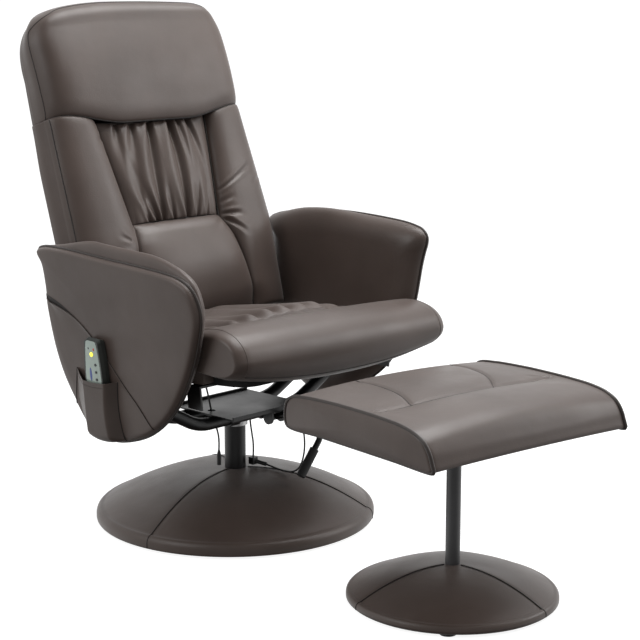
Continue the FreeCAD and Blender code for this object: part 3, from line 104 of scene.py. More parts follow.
def spline(points, count, closed=False):
    """Points along a centripetal curve through the given ones."""
    p = np.asarray(points, float)
    if closed:
        p = np.vstack([p[-1], p, p[0], p[1]])
    else:
        p = np.vstack([2 * p[0] - p[1], p, 2 * p[-1] - p[-2]])
    knots = travelled(p, 0.5)
    fine = np.linspace(knots[1], knots[-2], max(count * 6, 200))
    made = np.array([spline_point(p, knots, t) for t in fine])
    if closed:
        return evenly(made, count + 1)[:-1]
    return evenly(made, count)


def spline_point(p, knots, t):
    i = int(np.clip(np.searchsorted(knots, t, side="right") - 1, 1, len(p) - 3))
    k0, k1, k2, k3 = knots[i - 1:i + 3]
    a1 = between(t, k0, k1, p[i - 1], p[i])
    a2 = between(t, k1, k2, p[i], p[i + 1])
    a3 = between(t, k2, k3, p[i + 1], p[i + 2])
    b1 = between(t, k0, k2, a1, a2)
    b2 = between(t, k1, k3, a2, a3)
    return between(t, k1, k2, b1, b2)


def between(t, start, end, a, b):
    return (end - t) / (end - start) * a + (t - start) / (end - start) * b


def bell(off, width):
    return np.exp(-(off / width) ** 2)


def steep_bell(off, width_after, width_before):
    """A bell with one width beyond its top and another before it."""
    return np.where(off > 0, bell(off, width_after), bell(off, width_before))


def crease(x, y, start, end, width, depth):
    """A soft valley from start to end, fading out, with a low ridge on each side."""
    a, b = np.array(start, float), np.array(end, float)
    way = b - a
    length = np.linalg.norm(way)
    way = way / length
    along = ((x - a[0]) * way[0] + (y - a[1]) * way[1]) / length
    off = -(x - a[0]) * way[1] + (y - a[1]) * way[0]
    fade = smooth(along / 0.12 + 0.6) * smooth((1 - along) / 0.75)
    wide = width * (0.6 + 0.7 * clamp(along))
    ridge = bell(np.abs(off) - 1.9 * wide, 1.1 * wide)
    return fade * depth * (0.45 * ridge - bell(off, wide))


# Frames of the soft pieces, in metres

LEFT = -1
RIGHT = 1
BACK_LEAN = radians(20.3)
HINGE = (0.114, 0.365)
SEAT_TILT = radians(5.0)
SEAT_HEIGHT = 0.318
ARM_LEAN = radians(5.0)
ARM_FACE = 0.259
ARM_LEAN_HEIGHT = 0.385
STOOL_PLACE = (-0.062, -0.611)
STOOL_TURN = radians(-7.5)


def stacked(x, y, z):
    """Points of three coordinates, any of which may be a single number."""
    return np.stack(np.broadcast_arrays(x, y, z), -1)


def back_at(x, d, u):
    """On the back: across, forward and up, from the hinge."""
    s, c = sin(BACK_LEAN), cos(BACK_LEAN)
    return stacked(x, HINGE[0] - d * c + u * s, HINGE[1] + d * s + u * c)


def seat_at(x, y, z):
    """On the seat: across, to the rear and up, from its board."""
    s, c = sin(SEAT_TILT), cos(SEAT_TILT)
    return stacked(x, y * c + z * s, SEAT_HEIGHT - y * s + z * c)


def arm_at(side, t, y, z):
    """On an arm: out from its inner face, along and up."""
    s, c = sin(ARM_LEAN), cos(ARM_LEAN)
    up = z - ARM_LEAN_HEIGHT
    return stacked(side * (ARM_FACE + t * c + up * s), y, ARM_LEAN_HEIGHT - t * s + up * c)


def stool_at(x, y, z):
    """On the footstool: across, to the rear and up, from the floor below its column."""
    s, c = sin(STOOL_TURN), cos(STOOL_TURN)
    return stacked(STOOL_PLACE[0] + x * c - y * s, STOOL_PLACE[1] + x * s + y * c, z)


def round_at(place, r, turn, z):
    """Round an upright axis: radius, turn and height."""
    return stacked(place[0] + r * np.cos(turn), place[1] + r * np.sin(turn), z)


# Mesh builders

WELD = 1e-6
OFF_AXIS = (0.3, 0.2, 1.0)


def mesh_object(name, verts, faces):
    mesh = bpy.data.meshes.new(name)
    mesh.from_pydata([tuple(v) for v in verts], [], faces)
    work = bmesh.new()
    work.from_mesh(mesh)
    bmesh.ops.remove_doubles(work, verts=work.verts, dist=WELD)
    bmesh.ops.recalc_face_normals(work, faces=work.faces)
    work.to_mesh(mesh)
    work.free()
    mesh.polygons.foreach_set("use_smooth", [True] * len(mesh.polygons))
    return place_in_scene(name, mesh)


def place_in_scene(name, data):
    made = bpy.data.objects.new(name, data)
    bpy.context.scene.collection.objects.link(made)
    return made


def skin_parts(rows, first=0, closed=True, caps=True):
    """Vertices and faces of a skin through rows of points."""
    p = np.asarray(rows, float)
    n, m, _ = p.shape
    faces = []
    for i in range(n - 1):
        here = first + i * m
        ahead = here + m
        for j in range(m if closed else m - 1):
            k = (j + 1) % m
            faces.append((here + j, here + k, ahead + k, ahead + j))
    verts = list(p.reshape(-1, 3))
    if caps:
        for row in (0, n - 1):
            centre = len(verts) + first
            verts.append(p[row].mean(0))
            for j in range(m):
                faces.append((first + row * m + j, first + row * m + (j + 1) % m, centre))
    return verts, faces


def skin(name, *shells, closed=True, caps=True):
    verts, faces = [], []
    for rows in shells:
        more, made = skin_parts(rows, len(verts), closed, caps)
        verts += more
        faces += made
    return mesh_object(name, verts, faces)


def tube_rows(points, radius, closed=False, sides=10):
    """Rings round a line of points."""
    p = np.asarray(points, float)
    ahead = np.roll(p, -1, 0) - np.roll(p, 1, 0)
    if not closed:
        ahead[0], ahead[-1] = p[1] - p[0], p[-1] - p[-2]
    ahead /= np.linalg.norm(ahead, axis=1)[:, None]
    side = np.cross(ahead[0], OFF_AXIS)
    turn = round_turn(sides)[:, None]
    rows = []
    for point, way in zip(p, ahead):
        side = side - way * (side @ way)
        side = side / np.linalg.norm(side)
        up = np.cross(way, side)
        rows.append(point + radius * (np.cos(turn) * side + np.sin(turn) * up))
    if closed:
        rows.append(rows[0])
    return rows


def tubes(name, lines, radius, closed=False, sides=10):
    return skin(name, *[tube_rows(line, radius, closed, sides) for line in lines], caps=not closed)


# Materials

def new_material(name):
    material = bpy.data.materials.new(name)
    material.use_nodes = True
    tree = material.node_tree
    return material, tree, tree.nodes["Principled BSDF"]


def feed(node, **inputs):
    """Sets inputs of a shader node, named with underscores for spaces; a socket is linked."""
    for name, value in inputs.items():
        socket = node.inputs[name.replace("_", " ")]
        if isinstance(value, bpy.types.NodeSocket):
            node.id_data.links.new(value, socket)
        else:
            socket.default_value = value


def grey(value):
    return (value, value, value)


def ramp(tree, source, stops):
    made = tree.nodes.new("ShaderNodeValToRGB")
    while len(made.color_ramp.elements) < len(stops):
        made.color_ramp.elements.new(0.5)
    for element, (place, colour) in zip(made.color_ramp.elements, stops):
        element.position = place
        element.color = (*colour, 1.0)
    feed(made, Fac=source)
    return made.outputs["Color"]


def texture(tree, kind, scale, **values):
    made = tree.nodes.new(kind)
    place = tree.nodes.get("place")
    if place is None:
        place = tree.nodes.new("ShaderNodeTexCoord")
        place.name = "place"
    feed(made, Vector=place.outputs["Object"], Scale=scale, **values)
    return made


def noise(tree, scale, detail, **values):
    return texture(tree, "ShaderNodeTexNoise", scale, Detail=detail, **values).outputs["Fac"]


def bump(tree, shader, heights):
    """Stacks bumps: rows of a height output, its strength and its depth."""
    below = {}
    for height, strength, depth in heights:
        made = tree.nodes.new("ShaderNodeBump")
        feed(made, Height=height, Strength=strength, Distance=depth, **below)
        below = {"Normal": made.outputs["Normal"]}
    feed(shader, **below)


LEATHER_DARK = (0.058, 0.0405, 0.0335)
LEATHER_LIGHT = (0.078, 0.0560, 0.0470)


def leather(name, shade=1.0, rough=0.40):
    """Coated upholstery leather: pebbled grain, fine pores, slow changes of tone."""
    material, tree, shader = new_material(name)
    tone = noise(tree, 7.0, 3.0, Roughness=0.55)
    dark = tuple(shade * v for v in LEATHER_DARK)
    light = tuple(shade * v for v in LEATHER_LIGHT)
    colour = ramp(tree, tone, [(0.3, dark), (0.7, light)])
    gloss = ramp(tree, noise(tree, 16.0, 4.0), [(0.3, grey(rough - 0.04)), (0.7, grey(rough + 0.06))])
    feed(shader, Base_Color=colour, Roughness=gloss, Specular_IOR_Level=0.42,
         Sheen_Weight=0.12, Sheen_Roughness=0.45)
    bump(tree, shader, [
        (noise(tree, 55.0, 2.0), 0.10, 0.002),
        (texture(tree, "ShaderNodeTexVoronoi", 620.0).outputs["Distance"], 0.16, 0.0006),
        (noise(tree, 1500.0, 2.0), 0.08, 0.0003)])
    return material


def satin(name, colour, rough, metal=0.0, speck=0.15):
    """Painted, plated or moulded surface with a fine texture and worn patches of gloss."""
    material, tree, shader = new_material(name)
    low = tuple(v * 0.82 for v in colour)
    tone = ramp(tree, noise(tree, 30.0, 4.0), [(0.3, low), (0.65, colour)])
    wear = ramp(tree, noise(tree, 12.0, 5.0), [(0.35, grey(rough * 0.85)), (0.7, grey(rough * 1.2))])
    feed(shader, Base_Color=tone, Roughness=wear, Metallic=metal)
    bump(tree, shader, [(noise(tree, 700.0, 2.0), speck, 0.0004)])
    return material


def plywood(name):
    material, tree, shader = new_material(name)
    grain = texture(tree, "ShaderNodeTexWave", 22.0, Distortion=6.0, Detail=3.0).outputs["Color"]
    tone = ramp(tree, grain, [(0.2, (0.33, 0.22, 0.12)), (0.8, (0.52, 0.38, 0.24))])
    feed(shader, Base_Color=tone, Roughness=0.7)
    bump(tree, shader, [(noise(tree, 400.0, 3.0), 0.2, 0.0005)])
    return material


# Plastic that glows in its own colour: a painted glow.
def glowing_plastic(name, colour, glow):
    material, tree, shader = new_material(name)
    low = tuple(v * 0.85 for v in colour)
    tone = ramp(tree, noise(tree, 400.0, 2.0), [(0.3, low), (0.7, colour)])
    feed(shader, Base_Color=tone, Roughness=0.3, Emission_Color=(*colour, 1.0), Emission_Strength=glow)
    return material


def paint(piece, material):
    piece.data.materials.clear()
    piece.data.materials.append(material)


LEATHER = leather("taupe_leather")
PIPING = leather("piping_leather", 0.42, 0.42)
# A darkened copy of the leather for seam lines and the pocket slit: painted shade.
SEAM = leather("seam_shadow", 0.16, 0.6)
THREAD = satin("thread", (0.05, 0.042, 0.038), 0.6)
METAL = satin("black_metal", (0.0075, 0.0075, 0.008), 0.36)
# The footstool's column: the black metal made lighter, as painted light for the light that falls on it.
COLUMN_PAINTED_LIGHT = satin("column_metal_painted_light", (0.060, 0.060, 0.062), 0.34)
STEEL = satin("plated_steel", (0.5, 0.5, 0.5), 0.32, 1.0, 0.05)
BOARD = plywood("plywood")
RUBBER = satin("black_rubber", (0.018, 0.018, 0.018), 0.7, 0.0, 0.3)
PLASTIC = satin("black_plastic", (0.016, 0.016, 0.017), 0.42)
SHELL = satin("handset_shell", (0.05, 0.056, 0.052), 0.45)
FACE = satin("handset_face", (0.38, 0.45, 0.41), 0.38, 0.25)
CIRCUIT = satin("circuit_green", (0.02, 0.12, 0.05), 0.5)
# The yellow button's glow is painted light.
YELLOW = glowing_plastic("yellow_button_painted_glow", (0.95, 0.86, 0.08), 1.1)
RED = satin("red_mark", (0.55, 0.05, 0.03), 0.4)
BLUE = satin("blue_mark", (0.07, 0.10, 0.32), 0.4)
CLOTH = satin("dust_cloth", (0.012, 0.012, 0.012), 0.9)
MARK = satin("dark_mark", (0.03, 0.035, 0.04), 0.4)

slot_materials = {
    "upholstery": LEATHER, "black_metal": METAL, "steel": STEEL, "board": BOARD, "black_rubber": RUBBER,
    "black_plastic": PLASTIC, "handset_shell": SHELL, "handset_face": FACE, "circuit": CIRCUIT,
    "yellow_button": YELLOW, "dark_button": MARK,
}
# The footstool's column takes the lighter metal, which is painted light.
own_materials = {"seat_board": CLOTH, "stool_board": CLOTH, "stool_column": COLUMN_PAINTED_LIGHT}
for part in frame["record"]["subparts"]:
    paint(nodes[part["node"]], own_materials.get(part["node"], slot_materials[part["material_slot"]]))


def dress(piece, material, body, *stands_for, fill=None, slot="upholstery"):
    """Gives a piece its material and body, and hides the parts that it stands for."""
    paint(piece, material)
    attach(piece, body)
    if stands_for:
        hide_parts(*stands_for)


def seam(name, lines, radius, body, closed=False):
    """A sewn seam: a thin line along lines of points, dark as painted shade of its groove."""
    dress(tubes(name, lines, radius, closed), SEAM, body, slot=None)


def stitches(name, lines, body, pitch=0.0052, length=0.0036, radius=0.00042):
    """Short threads along lines of points, drawn thin at both ends."""
    thin = 0.35
    shells = []
    for line in lines:
        middle = along_line(line, np.arange(pitch / 2, travelled(line)[-1], pitch))
        for i in range(1, len(middle) - 1):
            way = middle[i + 1] - middle[i - 1]
            way = way / np.linalg.norm(way) * length / 2
            ends = [middle[i] + way * share for share in (-1, -0.5, 0.5, 1)]
            rings = tube_rows(ends, radius, sides=5)
            rings[0] = scaled(rings[0], ends[0], thin)
            rings[3] = scaled(rings[3], ends[3], thin)
            shells.append(rings)
    dress(skin(name, *shells), THREAD, body, slot=None)


# Back of the chair

BACK_FOOT = 0.016
BACK_SEAM = 0.441
BACK_TOP = 0.672
LUMBAR_TOP = 0.215
BACK_REAR = -0.030
PAD_REAR = 0.004
SEAM_BED = 0.018
WAIST = 0.114


def seam_height(x):
    """Lower seam of the headrest: it dips over the gathered panel."""
    return BACK_SEAM - 0.024 * smooth((0.238 - np.abs(x)) / 0.16)


def panel_side(u):
    """Half the width between the side rolls."""
    low = WAIST + 0.034 * (1 - clamp((u - BACK_FOOT) / (LUMBAR_TOP - BACK_FOOT)) ** 1.7)
    high = WAIST + 0.030 * clamp((u - LUMBAR_TOP) / (BACK_SEAM - LUMBAR_TOP))
    return np.where(u < LUMBAR_TOP, low, high)


def back_side(u):
    """Half the width of the back."""
    return np.interp(u, [BACK_FOOT, 0.2, 0.33, BACK_SEAM], [0.246, 0.257, 0.252, 0.247])


def seam_depth(u):
    """How far forward the seams beside the lumbar pad lie."""
    return SEAM_BED + 0.015 * smooth((LUMBAR_TOP + 0.004 - u) / 0.055) * smooth((u - BACK_FOOT) / 0.05)


HEAD_HALF = 0.249
HEAD_DEPTH = 0.045
HEAD_NARROWING = 0.066
HEAD_TOP_DRAW = 0.048
# Shares of the headrest's height: where its sides and its front round off, and where its hem ends.
HEAD_SHOULDER = 0.60
HEAD_BROW = 0.85
HEAD_HEM = 0.14
# Border seam: share across, and the round of its corners.
HEAD_BORDER = 0.981
HEAD_CORNER = 0.20


def headrest_level(x, v):
    """Height on the headrest; its left corner hangs a little."""
    hang = 0.005 * (x / 0.2) ** 2 + 0.013 * clamp((-x - 0.05) / 0.15) ** 2
    return seam_height(x) + (BACK_TOP - hang - seam_height(x)) * v


def headrest_shape(v, s):
    """Front of the headrest at height share v and across share s."""
    narrowing = HEAD_NARROWING * (1 - rounded((v - HEAD_SHOULDER) / (1 - HEAD_SHOULDER), 2.5))
    half = HEAD_HALF + 0.001 * np.sin(pi * v) - narrowing
    deep = HEAD_DEPTH + 0.010 * rounded((HEAD_HEM - v) / HEAD_HEM)
    deep = deep + 0.006 * np.sin(pi * clamp(v / 0.8))
    deep = deep - HEAD_TOP_DRAW * (1 - rounded((v - HEAD_BROW) / (1 - HEAD_BROW), 2.2))
    edge = puffed(s, 14, 2.3)
    draw = 0.004 + 0.030 * clamp(v / 0.4) + 0.085 * clamp((v - 0.5) / 0.5) ** 1.5
    x = half * s * (1 - draw * smooth((0.55 - edge) / 0.55))
    d = BACK_REAR + (deep - BACK_REAR) * edge * (1 - 0.05 * s * s)
    return x, d, headrest_level(x, v)


def headrest():
    rows = []
    for v in eased(74):
        x, d, u = headrest_shape(v, spread(110))
        rear = np.linspace(x[-1], x[0], 28)[1:-1]
        rows.append(np.vstack([back_at(x, d, u), back_at(rear, BACK_REAR, headrest_level(rear, v))]))
    dress(skin("headrest_cover", rows), LEATHER, "back", "headrest_pad", fill=0.85)
    turn = np.linspace(0, pi / 2, 14)
    corner = np.stack([HEAD_CORNER * (1 - np.cos(turn)) - HEAD_BORDER, 0.80 + 0.165 * np.sin(turn)], 1)
    left = np.vstack([[(-HEAD_BORDER, 0.0), (-HEAD_BORDER, 0.4)], corner])
    border = evenly(np.vstack([left, left[::-1] * [-1, 1]]), 260)
    x, d, u = headrest_shape(border[:, 1], border[:, 0])
    seam("headrest_border_seam", [back_at(x, d + 0.0004, u)], 0.0008, "back")
    x, d, u = headrest_shape(0.0, np.linspace(-0.97, 0.97, 120))
    seam("headrest_lower_seam", [back_at(x, d - 0.0008, u - 0.0006)], 0.0016, "back")


# Creases of the side rolls: side, start, end, width and depth.
ROLL_CREASES = (
    (RIGHT, (0.112, 0.214), (0.172, 0.206), 0.0045, 0.0050),
    (RIGHT, (0.114, 0.206), (0.166, 0.158), 0.0050, 0.0048),
    (RIGHT, (0.124, 0.262), (0.240, 0.322), 0.0042, 0.0030),
    (RIGHT, (0.118, 0.236), (0.158, 0.250), 0.0050, 0.0024),
    (RIGHT, (0.250, 0.285), (0.200, 0.262), 0.0050, 0.0020),
    (LEFT, (-0.150, 0.150), (-0.186, 0.160), 0.0045, 0.0035),
    (LEFT, (-0.146, 0.180), (-0.176, 0.196), 0.0050, 0.0020),
    (LEFT, (-0.134, 0.400), (-0.170, 0.372), 0.0060, 0.0016),
)
ROLL_SWELL = 0.031
ROLL_GAP = 0.0015
EDGE_SEAM = 0.970
WALL_POINTS = 14


def roll_front(side, v, s):
    """Front of a side roll at height share v and across share s, from the inner seam out."""
    level = BACK_FOOT + (BACK_SEAM - BACK_FOOT) * v
    inner, outer = panel_side(level), back_side(level)
    x = side * (inner + (outer - inner) * s)
    full = 0.55 + 0.45 * smooth(v / 0.4) - 0.06 * smooth((v - 0.55) / 0.45)
    pinch = (0.86 + 0.14 * rounded((v - 0.95) / 0.05)) * (0.6 + 0.4 * rounded((0.07 - v) / 0.07))
    u = BACK_FOOT + (seam_height(x) - ROLL_GAP - BACK_FOOT) * v
    d = SEAM_BED - 0.012 * s ** 3 + (seam_depth(u) - SEAM_BED) * (1 - s) ** 3
    d = d + ROLL_SWELL * full * pinch * puffed(2 * s - 1, 3.2, 2.2)
    for on, start, end, width, depth in ROLL_CREASES:
        if on == side:
            d = d + crease(x, u, start, end, width, depth) * smooth(np.minimum(s, 1 - s) / 0.05)
    return x, d, u


def side_rolls():
    shells, inner_lines, edge_lines = [], [], []
    step = np.linspace(0, 1, WALL_POINTS)[1:]
    for side in (LEFT, RIGHT):
        rows = []
        for v in np.linspace(0, 1, 150):
            x, d, u = roll_front(side, v, eased(84))
            depth = np.linspace(d[-1], BACK_REAR, WALL_POINTS)[1:]
            flare = 0.007 - 0.004 * smooth((v - 0.75) / 0.25)
            wall = x[-1] + side * (0.003 * np.sin(pi * step) + flare * step)
            inner_foot = back_at(x[:1], BACK_REAR, u[:1])
            rows.append(np.vstack([back_at(x, d, u), back_at(wall, depth, u[-1]), inner_foot]))
        shells.append(rows)
        v = np.linspace(0.01, 0.995, 120)
        x, d, u = roll_front(side, v, EDGE_SEAM)
        edge_lines.append(back_at(x + side * 0.0004, d + 0.0005, u))
        x, d, u = roll_front(side, v, 0.0)
        inner_lines.append(back_at(x, d + 0.0035, u))
    dress(skin("back_side_rolls", *shells), LEATHER, "back", "back_cushion", fill=0.8)
    seam("back_edge_seams", edge_lines, 0.0009, "back")
    seam("back_inner_seams", inner_lines, 0.0022, "back")


# Pleats of the gathered panel: across share at the top and the foot, width, and depth at the top,
# in the middle and at the foot.
PLEATS = (
    (-0.68, -0.92, 0.045, 0.0078, 0.0, 0.00096),
    (-0.41, -0.72, 0.060, 0.0096, 0.00288, 0.00144),
    (-0.09, -0.30, 0.055, 0.0144, 0.0102, 0.0114),
    (0.27, 0.25, 0.055, 0.0150, 0.0114, 0.0126),
    (0.42, 0.46, 0.035, 0.0060, 0.00024, 0.00048),
    (0.62, 0.86, 0.055, 0.0120, 0.00288, 0.0012),
    (-0.80, -0.43, 0.060, 0.0, 0.00168, 0.0132),
    (-0.64, -0.63, 0.036, 0.0, 0.0, 0.0066),
    (-0.07, -0.07, 0.040, 0.0, 0.00048, 0.0078),
    (0.66, 0.48, 0.045, 0.0, 0.0012, 0.0078),
    (0.82, 0.72, 0.040, 0.0, 0.00048, 0.0060),
)
PLEAT_MIDDLE = 0.42
PLEAT_BOW = 0.035
PANEL_BED = 0.017
PANEL_SWELL = 0.024


def panel_front(t, a):
    """Front of the gathered panel at height share t and across share a."""
    level = LUMBAR_TOP + (BACK_SEAM - LUMBAR_TOP) * t
    x = a * (panel_side(level) - 0.0008)
    u = LUMBAR_TOP + 0.001 + (seam_height(x) - 0.002 - LUMBAR_TOP) * t
    puff = puffed(a, 3.2, 2.2)
    d = PANEL_BED + PANEL_SWELL * puff * (0.62 + 0.38 * np.sqrt(clamp(4 * t * (1 - t))))
    to_top = clamp((t - PLEAT_MIDDLE) / (1 - PLEAT_MIDDLE)) ** 1.5
    to_foot = clamp((PLEAT_MIDDLE - t) / PLEAT_MIDDLE) ** 1.5
    for top, foot, width, deep_top, deep_middle, deep_foot in PLEATS:
        bow = PLEAT_BOW * np.sin(pi * t) * np.sign(top)
        off = a - (foot + (top - foot) * t + bow)
        deep = deep_middle + (deep_top - deep_middle) * to_top + (deep_foot - deep_middle) * to_foot
        wide = width * (0.8 + 0.9 * np.sin(pi * t))
        lip = bell(off + wide * 2.2, wide * 1.4)
        d = d + deep * (0.40 * lip - steep_bell(off, wide * 0.7, wide * 1.5)) * puff ** 0.5
    return x, d, u


def gathered_panel():
    rows = []
    for t in eased(90):
        x, d, u = panel_front(t, spread(260, 0.999))
        rows.append(np.vstack([back_at(x, d, u), back_at(x[::-10], PAD_REAR, u[::-10])]))
    dress(skin("gathered_cover", rows), LEATHER, "back", "gathered_panel", fill=0.5)


def lumbar_front(v, s):
    """Front of the lumbar pad at height share v and across share s."""
    u = BACK_FOOT + 0.002 + (LUMBAR_TOP - BACK_FOOT - 0.002) * v
    half = panel_side(u) - 0.001
    swell = 0.026 + 0.020 * np.sin(pi * clamp(v * 0.92 + 0.02)) ** 1.3
    ends = rounded((v - 0.86) / 0.14) * rounded((0.2 - v) / 0.2)
    puff = puffed(s, 3.4, 2.3)
    d = seam_depth(u) - 0.001 - (seam_depth(u) - SEAM_BED) * puff
    d = d + swell * (0.3 + 0.7 * ends) * (0.12 + 0.88 * puff)
    return half * s, d, u


def lumbar():
    rows = []
    for v in eased(70):
        x, d, u = lumbar_front(v, spread(110, 0.999))
        d = d + crease(x, u, (0.108, 0.205), (0.06, 0.170), 0.007, 0.0012)
        rows.append(np.vstack([back_at(x, d, u), back_at(x[::-5], PAD_REAR, u)]))
    dress(skin("lumbar_cover", rows), LEATHER, "back", "lumbar_pad", fill=0.8)
    lines = []
    for side in (LEFT, RIGHT):
        x, d, u = lumbar_front(np.linspace(0.02, 0.985, 90), side * 0.965)
        lines.append(back_at(x, d + 0.0006, u))
    stitches("lumbar_stitches", lines, "back")
    x, d, u = lumbar_front(1.0, np.linspace(-0.96, 0.96, 80))
    seam("lumbar_top_seam", [back_at(x, d - 0.002, u + 0.001)], 0.0022, "back")


# Right half of the rear panel's outline, and its steps from the edge in: size and depth.
REAR_HALF = (
    (0.0, 0.014), (0.220, 0.016), (0.230, 0.06), (0.236, 0.22), (0.230, 0.42), (0.226, 0.55),
    (0.211, 0.616), (0.166, 0.646), (0.0, 0.656),
)
REAR_MIDDLE = np.array([0.0, 0.33])
REAR_STEPS = (
    (1.0, -0.0302), (1.0, -0.0305), (0.998, -0.036), (0.990, -0.042), (0.978, -0.048), (0.966, -0.052),
    (0.953, -0.0542), (0.94, -0.0535), (0.925, -0.0545), (0.89, -0.0562), (0.75, -0.0568), (0.5, -0.057),
    (0.2, -0.057),
)


def rear_panel():
    """Padded panel on the rear of the back, with a border seam."""
    right = spline(REAR_HALF, 120)
    outline = np.vstack([right, right[-2:0:-1] * [-1, 1]])

    def ring(size, depth):
        p = scaled(outline, REAR_MIDDLE, size)
        return back_at(p[:, 0], depth, p[:, 1])

    cover = skin("rear_panel_cover", [ring(size, depth) for size, depth in REAR_STEPS])
    dress(cover, LEATHER, "back", "back_panel", fill=0.4)
    seam("rear_panel_seam", [ring(0.94, -0.0540)], 0.0010, "back", closed=True)
    stitches("rear_panel_stitches", [ring(0.952, -0.0549)], "back", 0.0062, 0.0042)


# Seat

BOLSTER_SECTION = (
    (-0.176, 0.014), (-0.215, -0.001), (-0.256, -0.011), (-0.290, -0.008), (-0.312, 0.008), (-0.3215, 0.030),
    (-0.3225, 0.050), (-0.315, 0.070), (-0.297, 0.088), (-0.268, 0.1005), (-0.238, 0.104), (-0.206, 0.100),
    (-0.180, 0.084), (-0.168, 0.060), (-0.166, 0.034),
)
BOLSTER_MIDDLE = np.array([-0.242, 0.050])
BOLSTER_HALF = 0.276
BOLSTER_ROUND = 0.034
BOLSTER_LEAN = 0.022
BOLSTER_END_SEAM = 0.255
BOLSTER_HEM = np.array([-0.303, 0.000])


def bolster_at(section, x):
    """Section of the front roll, which hangs lower in the middle and to the right."""
    share = abs(x) / BOLSTER_HALF
    drawn = 1 - rounded(1 - (BOLSTER_HALF - abs(x)) / BOLSTER_ROUND, 2.2)
    p = section - BOLSTER_MIDDLE
    fore = np.where(p[:, 0] < 0, 1 - 0.10 * share ** 2.2 - 0.16 * drawn, 1.0)
    below = 1 - 0.47 * share ** 2.2 - 0.06 * drawn
    above = 1 - 0.05 * share ** 4 - 0.26 * drawn - 0.06 * max(x, 0) / BOLSTER_HALF
    y = BOLSTER_MIDDLE[0] + p[:, 0] * fore
    z = BOLSTER_MIDDLE[1] + p[:, 1] * np.where(p[:, 1] < 0, below, above) - BOLSTER_LEAN * x
    return seat_at(x, y, z)


def front_roll():
    section = spline(BOLSTER_SECTION, 120, closed=True)
    rows = [bolster_at(section, x) for x in BOLSTER_HALF * spread(150)]
    dress(skin("seat_front_roll", rows), LEATHER, "seat", "seat_cushion", fill=0.9)
    ends = [bolster_at(section, side * BOLSTER_END_SEAM) for side in (LEFT, RIGHT)]
    dress(tubes("seat_end_seams", ends, 0.0007, closed=True), LEATHER, "seat", slot=None)
    low = np.argmin(np.linalg.norm(section - BOLSTER_HEM, axis=1))
    proud = seat_at(0, -0.0002, -0.0001) - seat_at(0, 0, 0)
    hem = [bolster_at(section, x)[low] + proud for x in np.linspace(-0.250, 0.250, 120)]
    seam("seat_hem_seam", [hem], 0.0009, "seat")


# Gathers behind the front roll: place across, drift to the rear and height.
SEAT_FOLDS = (
    (-0.214, 0.20, 0.8), (-0.176, 0.05, 1.1), (-0.138, 0.16, 0.8), (-0.094, 0.02, 1.2), (-0.052, 0.12, 0.9),
    (-0.010, -0.04, 1.2), (0.036, 0.04, 0.8), (0.080, -0.10, 1.0), (0.128, -0.04, 0.6), (0.176, -0.12, 0.6),
)
FOLD_HEIGHT = 0.0098
GATHERED_HALF = 0.251
GATHERED_FRONT = -0.190
GATHERED_REAR = 0.088
GATHERED_HEIGHT = 0.065
GATHERED_CROWN = 0.030


def seat_folds(x, y):
    """Folds that fade to the rear."""
    total = 0.0
    back = clamp(y - GATHERED_FRONT)
    for index, (place, drift, height) in enumerate(SEAT_FOLDS):
        reach = 0.085 + 0.045 * (index * 5 % 3)
        off = x - place - drift * back
        wide = 0.012 + 0.050 * np.clip(back, 0, 0.2)
        ridge = bell(off + 1.3 * wide, wide)
        fade = np.exp(-back / reach) * (0.12 + 0.88 * smooth(back / 0.035))
        total = total + height * fade * (0.7 * ridge - steep_bell(off, wide * 1.1, wide * 0.5))
    return FOLD_HEIGHT * total


def seat_top(x, y):
    """Height of the gathered seat: crowned, lower at its sides, at its ends and to the right."""
    from_side = GATHERED_HALF - abs(x)
    drop = 1 - rounded(1 - from_side / 0.04)
    crown = GATHERED_CROWN * (1 - (x / GATHERED_HALF) ** 2) ** 1.3
    top = GATHERED_HEIGHT + 0.060 * (GATHERED_REAR - y) + crown - 0.026 * drop
    top = top - 0.018 * x - 0.065 * max(x - 0.05, 0)
    top = top - 0.010 * clamp((y - 0.05) / 0.038) ** 2
    top = top - 0.008 * clamp((-0.160 - y) / 0.03) ** 2
    return top + seat_folds(x, y) * (1 - drop) * smooth(from_side / 0.03)


def gathered_seat():
    y = np.linspace(GATHERED_REAR, GATHERED_FRONT, 110)
    loop_y = np.concatenate([y, [GATHERED_FRONT, 0.084, 0.094, 0.094]])
    rows = []
    for x in GATHERED_HALF * spread(300):
        loop_z = np.concatenate([seat_top(x, y), [0.004, 0.004, 0.014, 0.052]])
        rows.append(seat_at(x, loop_y, loop_z))
    dress(skin("seat_gathered_top", rows), LEATHER, "seat", "seat_cushion", fill=0.6)


def dust_cloth():
    """Cloth below the seat, turned up at its front edge."""
    y = np.array([-0.262, -0.24, 0.085, 0.085, -0.24, -0.262])
    z = np.array([0.0015, -0.0016, -0.0016, 0.0004, 0.0004, 0.0035])
    rows = [seat_at(x, y, z) for x in np.linspace(-0.222, 0.222, 30)]
    dress(skin("seat_dust_cloth", rows), CLOTH, "seat", slot=None)


# Arms

